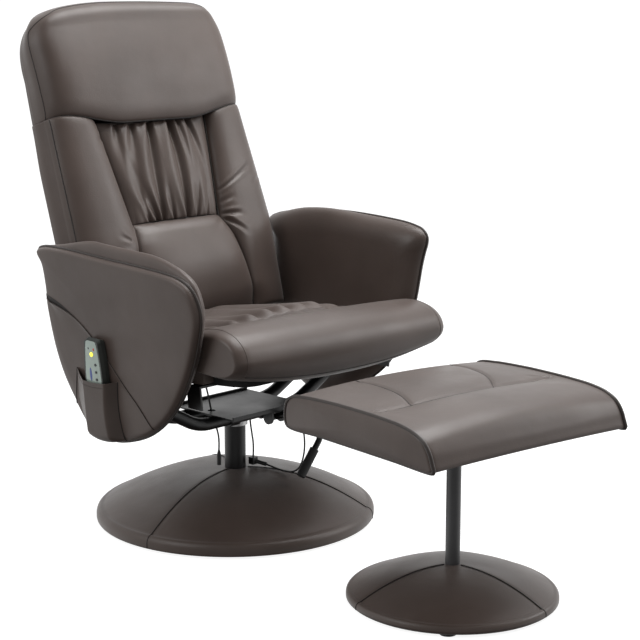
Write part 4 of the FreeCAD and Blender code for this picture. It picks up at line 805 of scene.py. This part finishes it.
ARM_FOOT = (
    (-0.155, 0.2964), (-0.110, 0.2548), (-0.065, 0.228), (-0.002, 0.207), (0.030, 0.2025), (0.057, 0.2055),
    (0.094, 0.2235), (0.124, 0.2603), (0.1555, 0.3104), (0.1755, 0.3657), (0.1865, 0.432), (0.1885, 0.491),
    (0.194, 0.528),
)
LEFT_ARM = (
    (0.206, 0.549), (0.190, 0.5555), (0.144, 0.5575), (0.080, 0.5555), (0.015, 0.552), (-0.050, 0.5495),
    (-0.108, 0.547), (-0.158, 0.5435), (-0.190, 0.5385), (-0.219, 0.525), (-0.2345, 0.502), (-0.2395, 0.473),
    (-0.227, 0.4265), (-0.203, 0.370),
)
RIGHT_ARM = (
    (0.206, 0.549), (0.190, 0.5575), (0.150, 0.567), (0.100, 0.5745), (0.050, 0.579), (0.010, 0.581),
    (-0.0475, 0.581), (-0.116, 0.5785), (-0.172, 0.5745), (-0.199, 0.570), (-0.2165, 0.5645),
    (-0.2285, 0.553), (-0.2295, 0.540), (-0.2245, 0.520), (-0.2195, 0.495), (-0.2150, 0.4607),
    (-0.210, 0.4265), (-0.195, 0.370),
)
ARM_MIDDLE = np.array([-0.010, 0.415])
ARM_EDGE = 0.0328
ARM_PIPING = 0.0027
LEFT_RISE = 0.027
RIGHT_RISE = 0.009
arm_lines = {
    LEFT: spline(LEFT_ARM + ARM_FOOT, 320, closed=True),
    RIGHT: spline(RIGHT_ARM + ARM_FOOT, 320, closed=True),
}
left_line = arm_lines[LEFT]
# Steps from the piping to the middle of the inner face: size of the outline, distance from the inner face,
# and share of the rise of the top roll. The outer face has no roll.
ARM_INNER_STEPS = (
    (1.000, 0.0322, 0.0), (1.003, 0.0300, 0.34), (1.000, 0.0268, 0.62), (0.991, 0.0225, 0.82),
    (0.975, 0.0178, 0.95), (0.953, 0.0132, 1.0), (0.925, 0.0092, 0.92), (0.892, 0.0058, 0.72),
    (0.855, 0.0031, 0.46), (0.81, 0.0012, 0.22), (0.755, 0.0002, 0.06), (0.7, 0.0, 0.0), (0.5, 0.0, 0.0),
    (0.3, 0.0, 0.0), (0.1, 0.0, 0.0),
)
ARM_OUTER_STEPS = (
    (1.000, ARM_EDGE), (0.998, 0.0364), (0.993, 0.0402), (0.984, 0.0433), (0.970, 0.0452), (0.945, 0.0462),
    (0.89, 0.0470), (0.77, 0.0478), (0.6, 0.0485), (0.4, 0.0489), (0.1, 0.049),
)
# Weights of size, distance and rise, which space the curve through the steps.
STEP_WEIGHTS = np.array([1, 8, 0.02])


def roll_rise(side, y, z):
    """How far the inner pad of an arm rises above the piping."""
    top = smooth((z - 0.40) / 0.13)
    if side == LEFT:
        rear = 1 - 0.9 * smooth((y - 0.05) / 0.14)
        front = 1 - 0.55 * smooth((-0.10 - y) / 0.13)
        return LEFT_RISE * top * rear * front
    rear = 1 - 0.85 * smooth((y - 0.09) / 0.11)
    front = smooth((y + 0.10) / 0.17)
    return RIGHT_RISE * top * rear * front


def arm_share(y, z):
    """How far a place is from the left arm's middle, as a share of the way to its edge."""
    edge = left_line - ARM_MIDDLE
    turns = np.unwrap(np.arctan2(edge[:, 1], edge[:, 0]))
    reach = np.linalg.norm(edge, axis=1)
    turn = np.arctan2(z - ARM_MIDDLE[1], y - ARM_MIDDLE[0])
    turn = np.mod(turn - turns[0], 2 * pi) + turns[0]
    turns = np.append(turns, turns[0] + 2 * pi)
    reach = np.append(reach, reach[0])
    return np.hypot(y - ARM_MIDDLE[0], z - ARM_MIDDLE[1]) / np.interp(turn, turns, reach)


def outer_surface(y, z):
    """Distance of the left arm's outer face from its inner face."""
    steps = np.array(ARM_OUTER_STEPS)[::-1]
    return np.interp(arm_share(y, z), steps[:, 0], steps[:, 1])


def arm_rows(side, steps):
    line = arm_lines[side]
    rise = roll_rise(side, line[:, 0], line[:, 1])
    rows = []
    for size, out, share in spline(np.array(steps) * STEP_WEIGHTS, 60) / STEP_WEIGHTS:
        p = scaled(line, ARM_MIDDLE, size)
        rows.append(arm_at(side, out, p[:, 0], p[:, 1] + share * rise))
    return rows


def arm(name, side):
    inner = skin(name + "_arm_inner_cover", arm_rows(side, ARM_INNER_STEPS))
    dress(inner, LEATHER, "seat", name + "_arm_inner", fill=0.85)
    outer_steps = [(size, out, 0.0) for size, out in ARM_OUTER_STEPS]
    outer = skin(name + "_arm_outer_cover", arm_rows(side, outer_steps))
    dress(outer, LEATHER, "seat", name + "_arm_outer", fill=0.7)
    p = scaled(arm_lines[side], ARM_MIDDLE, 1.004)
    line = arm_at(side, ARM_EDGE, p[:, 0], p[:, 1])
    dress(tubes(name + "_arm_piping", [line], ARM_PIPING, closed=True, sides=12), PIPING, "seat")


# Pockets on the left arm

POCKET_POINTS = 110
POCKET_LEATHER = 0.0016


def lower_edge(front, rear, size):
    """The left arm's lower edge from a front place to a rear one, drawn in to a size."""
    first, last = [np.argmin(np.linalg.norm(left_line - place, axis=1)) for place in (front, rear)]
    return evenly(scaled(left_line[first:last + 1], ARM_MIDDLE, size), POCKET_POINTS)


DIAGONAL = (
    (0.1865, 0.4690), (0.1751, 0.4661), (0.1511, 0.4594), (0.1314, 0.4518), (0.0958, 0.4340),
    (0.0542, 0.4060), (0.0100, 0.3650), (-0.0359, 0.3183), (-0.0653, 0.2900), (-0.0990, 0.2500),
)
SLIT_WIDTH = 0.0095
SLIT_POINTS = 38


def magazine_pocket():
    """Panel below the diagonal seam of the left arm; its rear end stands open."""
    upper = spline(DIAGONAL, POCKET_POINTS)
    lower = lower_edge(upper[-1], upper[0], 0.990)[::-1]
    along = np.linspace(0, 1, POCKET_POINTS)
    open_end = smooth((0.33 - along) / 0.30)
    rows, inner_rows = [], []
    for b in np.concatenate([[0.0, 0.004, 0.012], np.linspace(0.025, 1.0, 44)]):
        p = upper + (lower - upper) * b
        gape = open_end * (1 - smooth(b / 0.45))
        lift = 0.0012 * (1 - smooth((b - 0.80) / 0.2)) + 0.0030 * gape * smooth(along / 0.06)
        hem = 0.0007 * bell(b, 0.02)
        out = outer_surface(p[:, 0], p[:, 1])
        z = p[:, 1] - SLIT_WIDTH * gape
        rows.append(arm_at(LEFT, out + lift + hem, p[:, 0], z))
        inner_rows.append(arm_at(LEFT, out + np.maximum(lift - POCKET_LEATHER, 0.0002), p[:, 0], z))
    panel = skin("magazine_pocket_panel", inner_rows[::-1] + rows, closed=False, caps=False)
    dress(panel, LEATHER, "seat")
    out = outer_surface(upper[:, 0], upper[:, 1])
    line = arm_at(LEFT, out + 0.0008, upper[:, 0], upper[:, 1])
    seam("diagonal_seam", [line[SLIT_POINTS - 2:]], 0.0007, "seat")
    # A dark strip over the open end of the slit: painted shade of the pocket's mouth.
    y, z = upper[:SLIT_POINTS].T
    low = z - SLIT_WIDTH * open_end[:SLIT_POINTS] - 0.0024
    rows = [arm_at(LEFT, out[:SLIT_POINTS] + 0.0005, y, level) for level in (low, z)]
    dress(skin("pocket_slit", rows, closed=False, caps=False), SEAM, "seat", slot=None)


POCKET_MOUTH = (
    (-0.0146, 0.3278), (-0.010, 0.3275), (0.000, 0.3270), (0.0126, 0.3258), (0.0432, 0.3240),
    (0.0651, 0.3258), (0.0834, 0.3294), (0.1037, 0.3370),
)
POCKET_FOOT = ((-0.0163, 0.2105), (0.1215, 0.2570))
POCKET_FACE = 0.0722
POCKET_FACE_REAR = 0.0612
POCKET_BOW = 0.0065
POCKET_FRONT_ROUND = 0.0175
POCKET_FOOT_ROUND = 0.0205
# Rear edge of the gusset: height and place along the arm.
GUSSET_END = np.array([(0.205, 0.072), (0.230, 0.090), (0.250, 0.102), (0.280, 0.1085), (0.340, 0.1040)])


def remote_pocket():
    """Pocket sewn on the arm, from its mouth to the piping; its rear side is a slanting gusset."""
    mouth = spline(POCKET_MOUTH, POCKET_POINTS)
    foot = lower_edge(*POCKET_FOOT, 0.988)
    floor = foot[np.argsort(foot[:, 0])]
    near_front = np.linspace(1, 0, POCKET_POINTS) ** 2

    def at(b, lift):
        y, z = (mouth + (foot - mouth) * b).T
        y = y + POCKET_BOW * sin(pi * b) * near_front
        front = np.sin(pi / 2 * clamp((y - y[0]) / POCKET_FRONT_ROUND))
        end = np.interp(z, GUSSET_END[:, 0], GUSSET_END[:, 1])
        rear = clamp((end - y) / (end - POCKET_FACE_REAR))
        above = (z - np.interp(y, floor[:, 0], floor[:, 1])) / POCKET_FOOT_ROUND
        stand = front * rear * rounded(1 - above)
        base = outer_surface(y, z) + POCKET_LEATHER
        return arm_at(LEFT, base + (POCKET_FACE - base) * stand + lift, y, z)

    levels = np.concatenate([[0.0, 0.006, 0.016], np.linspace(0.03, 1.0, 50)])
    outer = [at(b, 0.0005 * bell(b, 0.03)) for b in levels]
    inner = [at(b, -0.0013) for b in levels]
    cover = skin("remote_pocket_cover", inner[::-1] + outer, closed=False, caps=False)
    dress(cover, LEATHER, "seat", "remote_pocket", fill=0.1)
    front_line = [at(b, 0.0002)[0] for b in np.linspace(0.0, 1.0, 50)]
    gusset_line = [at(b, 0.0002)[-1] for b in np.linspace(0.0, 0.96, 40)]
    seam("pocket_seams", [front_line, gusset_line], 0.0009, "seat")
    stitches("pocket_hem_stitches", [at(0.075, 0.0004)[6:-4]], "seat", 0.0046, 0.0030)


# Marks on the handset: place along and below the top, half width, half height and material.
HANDSET_MARKS = {
    "handset_mark_dark": (0.0080, 0.0185, 0.0018, 0.0020, MARK),
    "handset_mark_red": (-0.0070, 0.0190, 0.0022, 0.0028, RED),
    "handset_mark_blue": (0.0070, 0.0680, 0.0032, 0.0130, BLUE),
}
FILM_HALF = np.array([
    (0.0095, 0.0035), (0.0135, 0.0055), (0.0155, 0.012), (0.0185, 0.034), (0.0215, 0.066), (0.0225, 0.098),
])
HANDSET_TOP = 0.0133


def handset_marks():
    """Printed signs on the face of the handset: plain shapes only."""
    node = nodes["handset_face"]
    points = np.array([node.matrix_world @ v.co for v in node.data.vertices])
    s, c = sin(ARM_LEAN), cos(ARM_LEAN)
    across = LEFT * points[:, 0] - ARM_FACE
    above = points[:, 2] - ARM_LEAN_HEIGHT
    face = (across * c - above * s).max()
    top = ARM_LEAN_HEIGHT + (across * s + above * c).max() + HANDSET_TOP
    middle = (points[:, 1].max() + points[:, 1].min()) / 2

    def printed(name, outline, layers, material):
        rows = []
        for size, lift in layers:
            spot = scaled(outline, outline.mean(0), size)
            rows.append(arm_at(LEFT, face + lift, middle + spot[:, 0], top - spot[:, 1]))
        dress(skin(name, rows), material, "handset", slot=None)

    film = np.vstack([FILM_HALF, FILM_HALF[::-1] * [-1, 1]])
    printed("handset_face_film", film, ((1.0, 0.00005), (1.0, 0.00022), (0.97, 0.00026)), FACE)
    turn = round_turn(28)
    ink = ((1.0, 0.0001), (1.0, 0.00036), (0.86, 0.00044), (0.3, 0.00046))
    for name, (along, drop, wide, high, material) in HANDSET_MARKS.items():
        outline = np.stack([along + wide * np.cos(turn), drop - high * np.sin(turn)], 1)
        printed(name, outline, ink, material)


# Covered bases: sizes in metres, seams in degrees

CHAIR_DOME = SimpleNamespace(
    place=(0, 0), outer=0.275, shoulder=0.262, shoulder_height=0.029, crown=0.0985, column=0.0211,
    swell=0.0212, rim=0.014, seams=(-170, -56, 64), flat=0.0045)
STOOL_DOME = SimpleNamespace(
    place=STOOL_PLACE, outer=0.183, shoulder=0.174, shoulder_height=0.019, crown=0.0625, column=0.0128,
    swell=0.0118, rim=0.010, seams=(-82, 38, 158), flat=0.003)
DOME_FOOT = 0.0042
DOME_COLLAR = 0.004
DOME_HEM = DOME_FOOT + 0.002
GROOVE_DEPTH = 0.0010
GROOVE_WIDTH = 0.004


def down_dome(dome, r):
    """Share of the way from the column to the shoulder."""
    return clamp((r - dome.column) / (dome.shoulder - dome.column))


def dome_height(dome, r):
    """Height of a cover at a radius: a cone that swells."""
    t = down_dome(dome, r)
    return dome.crown + (dome.shoulder_height - dome.crown) * t + dome.swell * 4 * t * (1 - t)


def from_seam(dome, turn):
    """Turn to the nearest seam of a cover."""
    return np.min([np.abs(np.angle(np.exp(1j * (turn - radians(s))))) for s in dome.seams], axis=0)


def dome_sag(dome, r, turn):
    """How much lower a cover lies between its seams."""
    share = clamp(from_seam(dome, turn) * len(dome.seams) / pi)
    return dome.flat * np.sin(pi * down_dome(dome, r) ** 0.8) * (1 - (1 - share) ** 2)


def dome_rim(dome, angle):
    """Radius and height on the round rim, from the shoulder out."""
    r = dome.shoulder + (dome.outer - dome.shoulder) * np.sin(angle)
    return r, dome.rim + (dome.shoulder_height - dome.rim) * np.cos(angle)


def covered_dome(name, body, node, dome):
    turn = round_turn(240)
    rows = []
    for r in np.concatenate([[dome.column - 0.001], np.linspace(dome.column, dome.shoulder, 60)]):
        groove = GROOVE_DEPTH * bell(from_seam(dome, turn) * r, GROOVE_WIDTH)
        z = dome_height(dome, r) - dome_sag(dome, r, turn) - groove * (r > dome.column + DOME_COLLAR)
        rows.append(round_at(dome.place, r, turn, z))
    for angle in np.linspace(0.15, pi / 2, 10):
        r, z = dome_rim(dome, angle)
        rows.append(round_at(dome.place, r, turn, z))
    hem = ((0, dome.rim * 0.6), (0.0005, DOME_HEM), (0.002, DOME_FOOT), (0.006, DOME_FOOT))
    for inset, z in hem:
        rows.append(round_at(dome.place, dome.outer - inset, turn, z))
    dress(skin(name + "_leather", rows, caps=False), LEATHER, body, node, fill=0.1)
    lines = []
    for degrees in dome.seams:
        at = radians(degrees)
        r = np.linspace(dome.column + DOME_COLLAR, dome.shoulder, 60)
        top = round_at(dome.place, r, at, dome_height(dome, r) + 0.0001)
        r, z = dome_rim(dome, np.linspace(0.2, 1.5, 6))
        end = round_at(dome.place, dome.outer, at, DOME_HEM)
        lines.append(np.vstack([top, round_at(dome.place, r, at, z), end]))
    seam(name + "_seams", lines, 0.0010, body)


# Footstool pad

STOOL_SECTION = (
    (0.180, 0.3045), (0.1855, 0.312), (0.1865, 0.328), (0.182, 0.344), (0.168, 0.3555), (0.130, 0.3615),
    (0.06, 0.3655), (0.0, 0.3665), (-0.06, 0.3660), (-0.110, 0.3635), (-0.143, 0.3575), (-0.164, 0.3475),
    (-0.1765, 0.333), (-0.183, 0.318), (-0.1873, 0.3062), (-0.1850, 0.3042), (-0.09, 0.3042), (0.0, 0.3042),
    (0.09, 0.3042),
)
STOOL_MIDDLE = np.array([0.0, 0.334])
STOOL_TOP = 0.3665
STOOL_HALF = 0.220
STOOL_CROWN = 0.010
STOOL_END = 0.955
STOOL_END_ROUND = 0.010
STOOL_PIPING = 0.0033
CROSS_SEAM = -0.030
SHORT_SEAM_REAR = 0.155
# Puckers where the cross seam ends: slope and depth.
PUCKERS = ((0.5, 0.0018), (-0.1, 0.0022), (-0.7, 0.0015))


def short_seam(side, y):
    """Across place of the curved seams from the rear edge to the cross seam."""
    bend = ((SHORT_SEAM_REAR - y) / (SHORT_SEAM_REAR - CROSS_SEAM)) ** 2
    return np.where(side == LEFT, -0.084 - 0.040 * bend, 0.135 - 0.075 * bend)


def stool_top(x, y, z):
    """Crown, seams and puckers on the top of the pad."""
    up = smooth((z - 0.33) / 0.03)
    z = z + STOOL_CROWN * (1 - (x / STOOL_HALF) ** 2) * up
    from_end = STOOL_HALF - np.abs(x)
    groove = 0.0030 * bell(y - CROSS_SEAM, 0.0045) * smooth((from_end - 0.016) / 0.02)
    dip = 0.0050 * bell(y - CROSS_SEAM, 0.030) * smooth(from_end / 0.08)
    z = z - up * (groove + dip)
    for side in (LEFT, RIGHT):
        off = x - short_seam(side, y)
        on = smooth((y - CROSS_SEAM) / 0.01) * smooth((0.165 - y) / 0.02)
        z = z - up * on * (0.0024 * bell(off, 0.0035) + 0.0014 * bell(off, 0.014))
        for slope, deep in PUCKERS:
            start = (STOOL_HALF - 0.020, CROSS_SEAM + 0.004 * slope)
            end = (STOOL_HALF - 0.065, CROSS_SEAM - 0.045 * slope)
            z = z + up * crease(side * x, y, start, end, 0.005, deep)
    return z


def stool_pad():
    section = spline(STOOL_SECTION, 200, closed=True)
    near_end = np.array([0.0, 0.0006, 0.002, 0.004, 0.008, 0.014])
    between = np.linspace(-0.20, 0.20, 150)
    rows = []
    for x in np.concatenate([near_end - STOOL_HALF, between, STOOL_HALF - near_end[::-1]]):
        size = STOOL_END + (1 - STOOL_END) * rounded(1 - (STOOL_HALF - abs(x)) / STOOL_END_ROUND)
        y, z = scaled(section, STOOL_MIDDLE, size).T
        swell = 1 - (x / STOOL_HALF) ** 2
        low_front = smooth((-y - 0.13) / 0.05) * (1 - smooth((z - 0.318) / 0.03))
        y = y - 0.0036 * swell * clamp(-y / 0.177)
        rows.append(stool_at(x, y, stool_top(x, y, z) + 0.004 * low_front * swell))
    dress(skin("stool_pad_cover", rows), LEATHER, "stool", "stool_cushion", fill=0.8)
    y, z = scaled(section, STOOL_MIDDLE, 1.002).T
    ends = [side * (STOOL_HALF - 0.0035) for side in (LEFT, RIGHT)]
    lines = [stool_at(x, y, stool_top(x, y, z)) for x in ends]
    dress(tubes("stool_piping", lines, STOOL_PIPING, closed=True, sides=12), PIPING, "stool")
    x = np.linspace(0.022 - STOOL_HALF, STOOL_HALF - 0.022, 140)
    lines = [stool_at(x, CROSS_SEAM, stool_top(x, CROSS_SEAM, STOOL_TOP) + 0.0003)]
    top = section[section[:, 1] > 0.35]
    top = top[np.argsort(top[:, 0])]
    y = np.linspace(CROSS_SEAM + 0.002, 0.160, 60)
    z = np.interp(y, top[:, 0], top[:, 1])
    for side in (LEFT, RIGHT):
        x = short_seam(side, y)
        lines.append(stool_at(x, y, stool_top(x, y, z) + 0.0003))
    seam("stool_top_seams", lines, 0.0008, "stool")


# Leads: routes in millimetres

LEADS = {
    "hanging_lead": (
        (-90, 1.5, 317.4), (-82, -4, 286), (-77, -9.5, 254), (-73, -13, 222),
        (-66, -19, 194), (-62.5, -22.5, 170), (-63, -21.5, 150)),
    "supply_lead": (
        (20.6, -20.6, 224.5), (20.6, -20.8, 196), (22.6, -24, 168), (25, -27, 142),
        (24, -26, 118)),
    "handle_lead": (
        (37, -51, 104.8), (41.5, -68, 100.6), (46.5, -92, 97), (50.5, -112, 98.5),
        (57, -124, 109), (67, -125, 131), (78, -117, 158), (86, -102, 186),
        (89, -91, 207), (90, -89, 224.5)),
}
LEAD_DIAMETER = 0.0035


def leads():
    for name, route in LEADS.items():
        curve = bpy.data.curves.new(name + "_cable", "CURVE")
        curve.dimensions = "3D"
        line = curve.splines.new("NURBS")
        line.points.add(len(route) - 1)
        for point, place in zip(line.points, route):
            point.co = (place[0] / 1000, place[1] / 1000, place[2] / 1000, 1.0)
        line.order_u = 3
        line.use_endpoint_u = True
        line.resolution_u = 12
        curve.bevel_depth = LEAD_DIAMETER / 2
        curve.bevel_resolution = 4
        curve.use_fill_caps = True
        cable = place_in_scene(name + "_cable", curve)
        dress(cable, PLASTIC, "seat", name, slot="black_plastic")


# Stage

# Softboxes: place, target, size and power.
SOFTBOXES = {
    "top_softbox": ((0.9, -0.3, 3.0), (0, -0.1, 0.4), 2.0, 84),
    "right_softbox": ((2.4, -1.9, 1.9), (0, -0.1, 0.5), 1.5, 30),
    "left_softbox": ((-2.7, 0.6, 2.3), (0, 0, 0.5), 1.6, 28),
}
# Section of the floor, which turns up into a far backdrop.
BACKDROP = (
    (0.01, -0.0006), (6.0, -0.0006), (22.0, -0.0006), (27.0, 0.8), (31.0, 4.0), (34.0, 12.0), (35.0, 30.0),
)
CAMERA_PLACE = (-2.21245, -2.38361, 1.04124)
CAMERA_DIP = 0.19677
CAMERA_TURN = -0.79977
FOCAL_PIXELS = 1700
PHOTO_PIXELS = 640
SENSOR = 36.0


def studio():
    """Soft light from all round, weaker from the camera's side and from below."""
    world = bpy.data.worlds.new("studio")
    bpy.context.scene.world = world
    world.use_nodes = True
    tree = world.node_tree
    place = tree.nodes.new("ShaderNodeTexCoord").outputs["Generated"]
    toward = tree.nodes.new("ShaderNodeVectorMath")
    toward.operation = "DOT_PRODUCT"
    feed(toward, Vector=place)
    toward.inputs[1].default_value = (-0.68, -0.73, 0.10)
    front = ramp(tree, toward.outputs["Value"], [(0.0, grey(1)), (0.30, grey(0.72)), (0.75, grey(0.36))])
    split = tree.nodes.new("ShaderNodeSeparateXYZ")
    feed(split, Vector=place)
    level = tree.nodes.new("ShaderNodeMapRange")
    feed(level, Value=split.outputs["Z"], From_Min=-1.0)
    stops = [(0.10, grey(0.10)), (0.30, grey(1)), (0.62, grey(1)), (0.85, grey(0.75))]
    height = ramp(tree, level.outputs["Result"], stops)
    both = tree.nodes.new("ShaderNodeMix")
    both.data_type = "RGBA"
    both.blend_type = "MULTIPLY"
    feed(both, Factor=1.0, A=front, B=height)
    feed(tree.nodes["Background"], Color=both.outputs["Result"], Strength=1.0)


def softboxes():
    for name, (spot, target, size, power) in SOFTBOXES.items():
        light = bpy.data.lights.new(name, "AREA")
        light.size = size
        light.energy = power
        lamp = place_in_scene(name, light)
        lamp.location = spot
        lamp.rotation_euler = (Vector(target) - Vector(spot)).to_track_quat("-Z", "Y").to_euler()


def white_floor():
    turn = round_turn(96)
    rows = [round_at((0, 0), reach, turn, rise) for reach, rise in spline(BACKDROP, 40)]
    floor = skin("floor", rows, caps=False)
    white, _, shader = new_material("floor_white")
    feed(shader, Base_Color=(0.30, 0.30, 0.30, 1), Roughness=1.0, Specular_IOR_Level=0.0,
         Emission_Color=(1, 1, 1, 1), Emission_Strength=0.90)
    paint(floor, white)
    floor.visible_diffuse = False
    floor.visible_glossy = False
    floor.visible_shadow = False


def photo_camera():
    camera = place_in_scene("camera", bpy.data.cameras.new("camera"))
    camera.location = CAMERA_PLACE
    camera.rotation_euler = (pi / 2 - CAMERA_DIP, 0.0, CAMERA_TURN)
    camera.data.sensor_width = SENSOR
    camera.data.lens = FOCAL_PIXELS / PHOTO_PIXELS * SENSOR
    camera.data.clip_end = 100.0
    bpy.context.scene.camera = camera
    bpy.context.scene.view_settings.view_transform = "Standard"


studio()
softboxes()
white_floor()
photo_camera()
leads()
headrest()
side_rolls()
gathered_panel()
lumbar()
rear_panel()
front_roll()
gathered_seat()
dust_cloth()
arm("left", LEFT)
arm("right", RIGHT)
magazine_pocket()
remote_pocket()
handset_marks()
covered_dome("base", "base", "base_cover", CHAIR_DOME)
covered_dome("stool_base", "stool", "stool_cover", STOOL_DOME)
stool_pad()
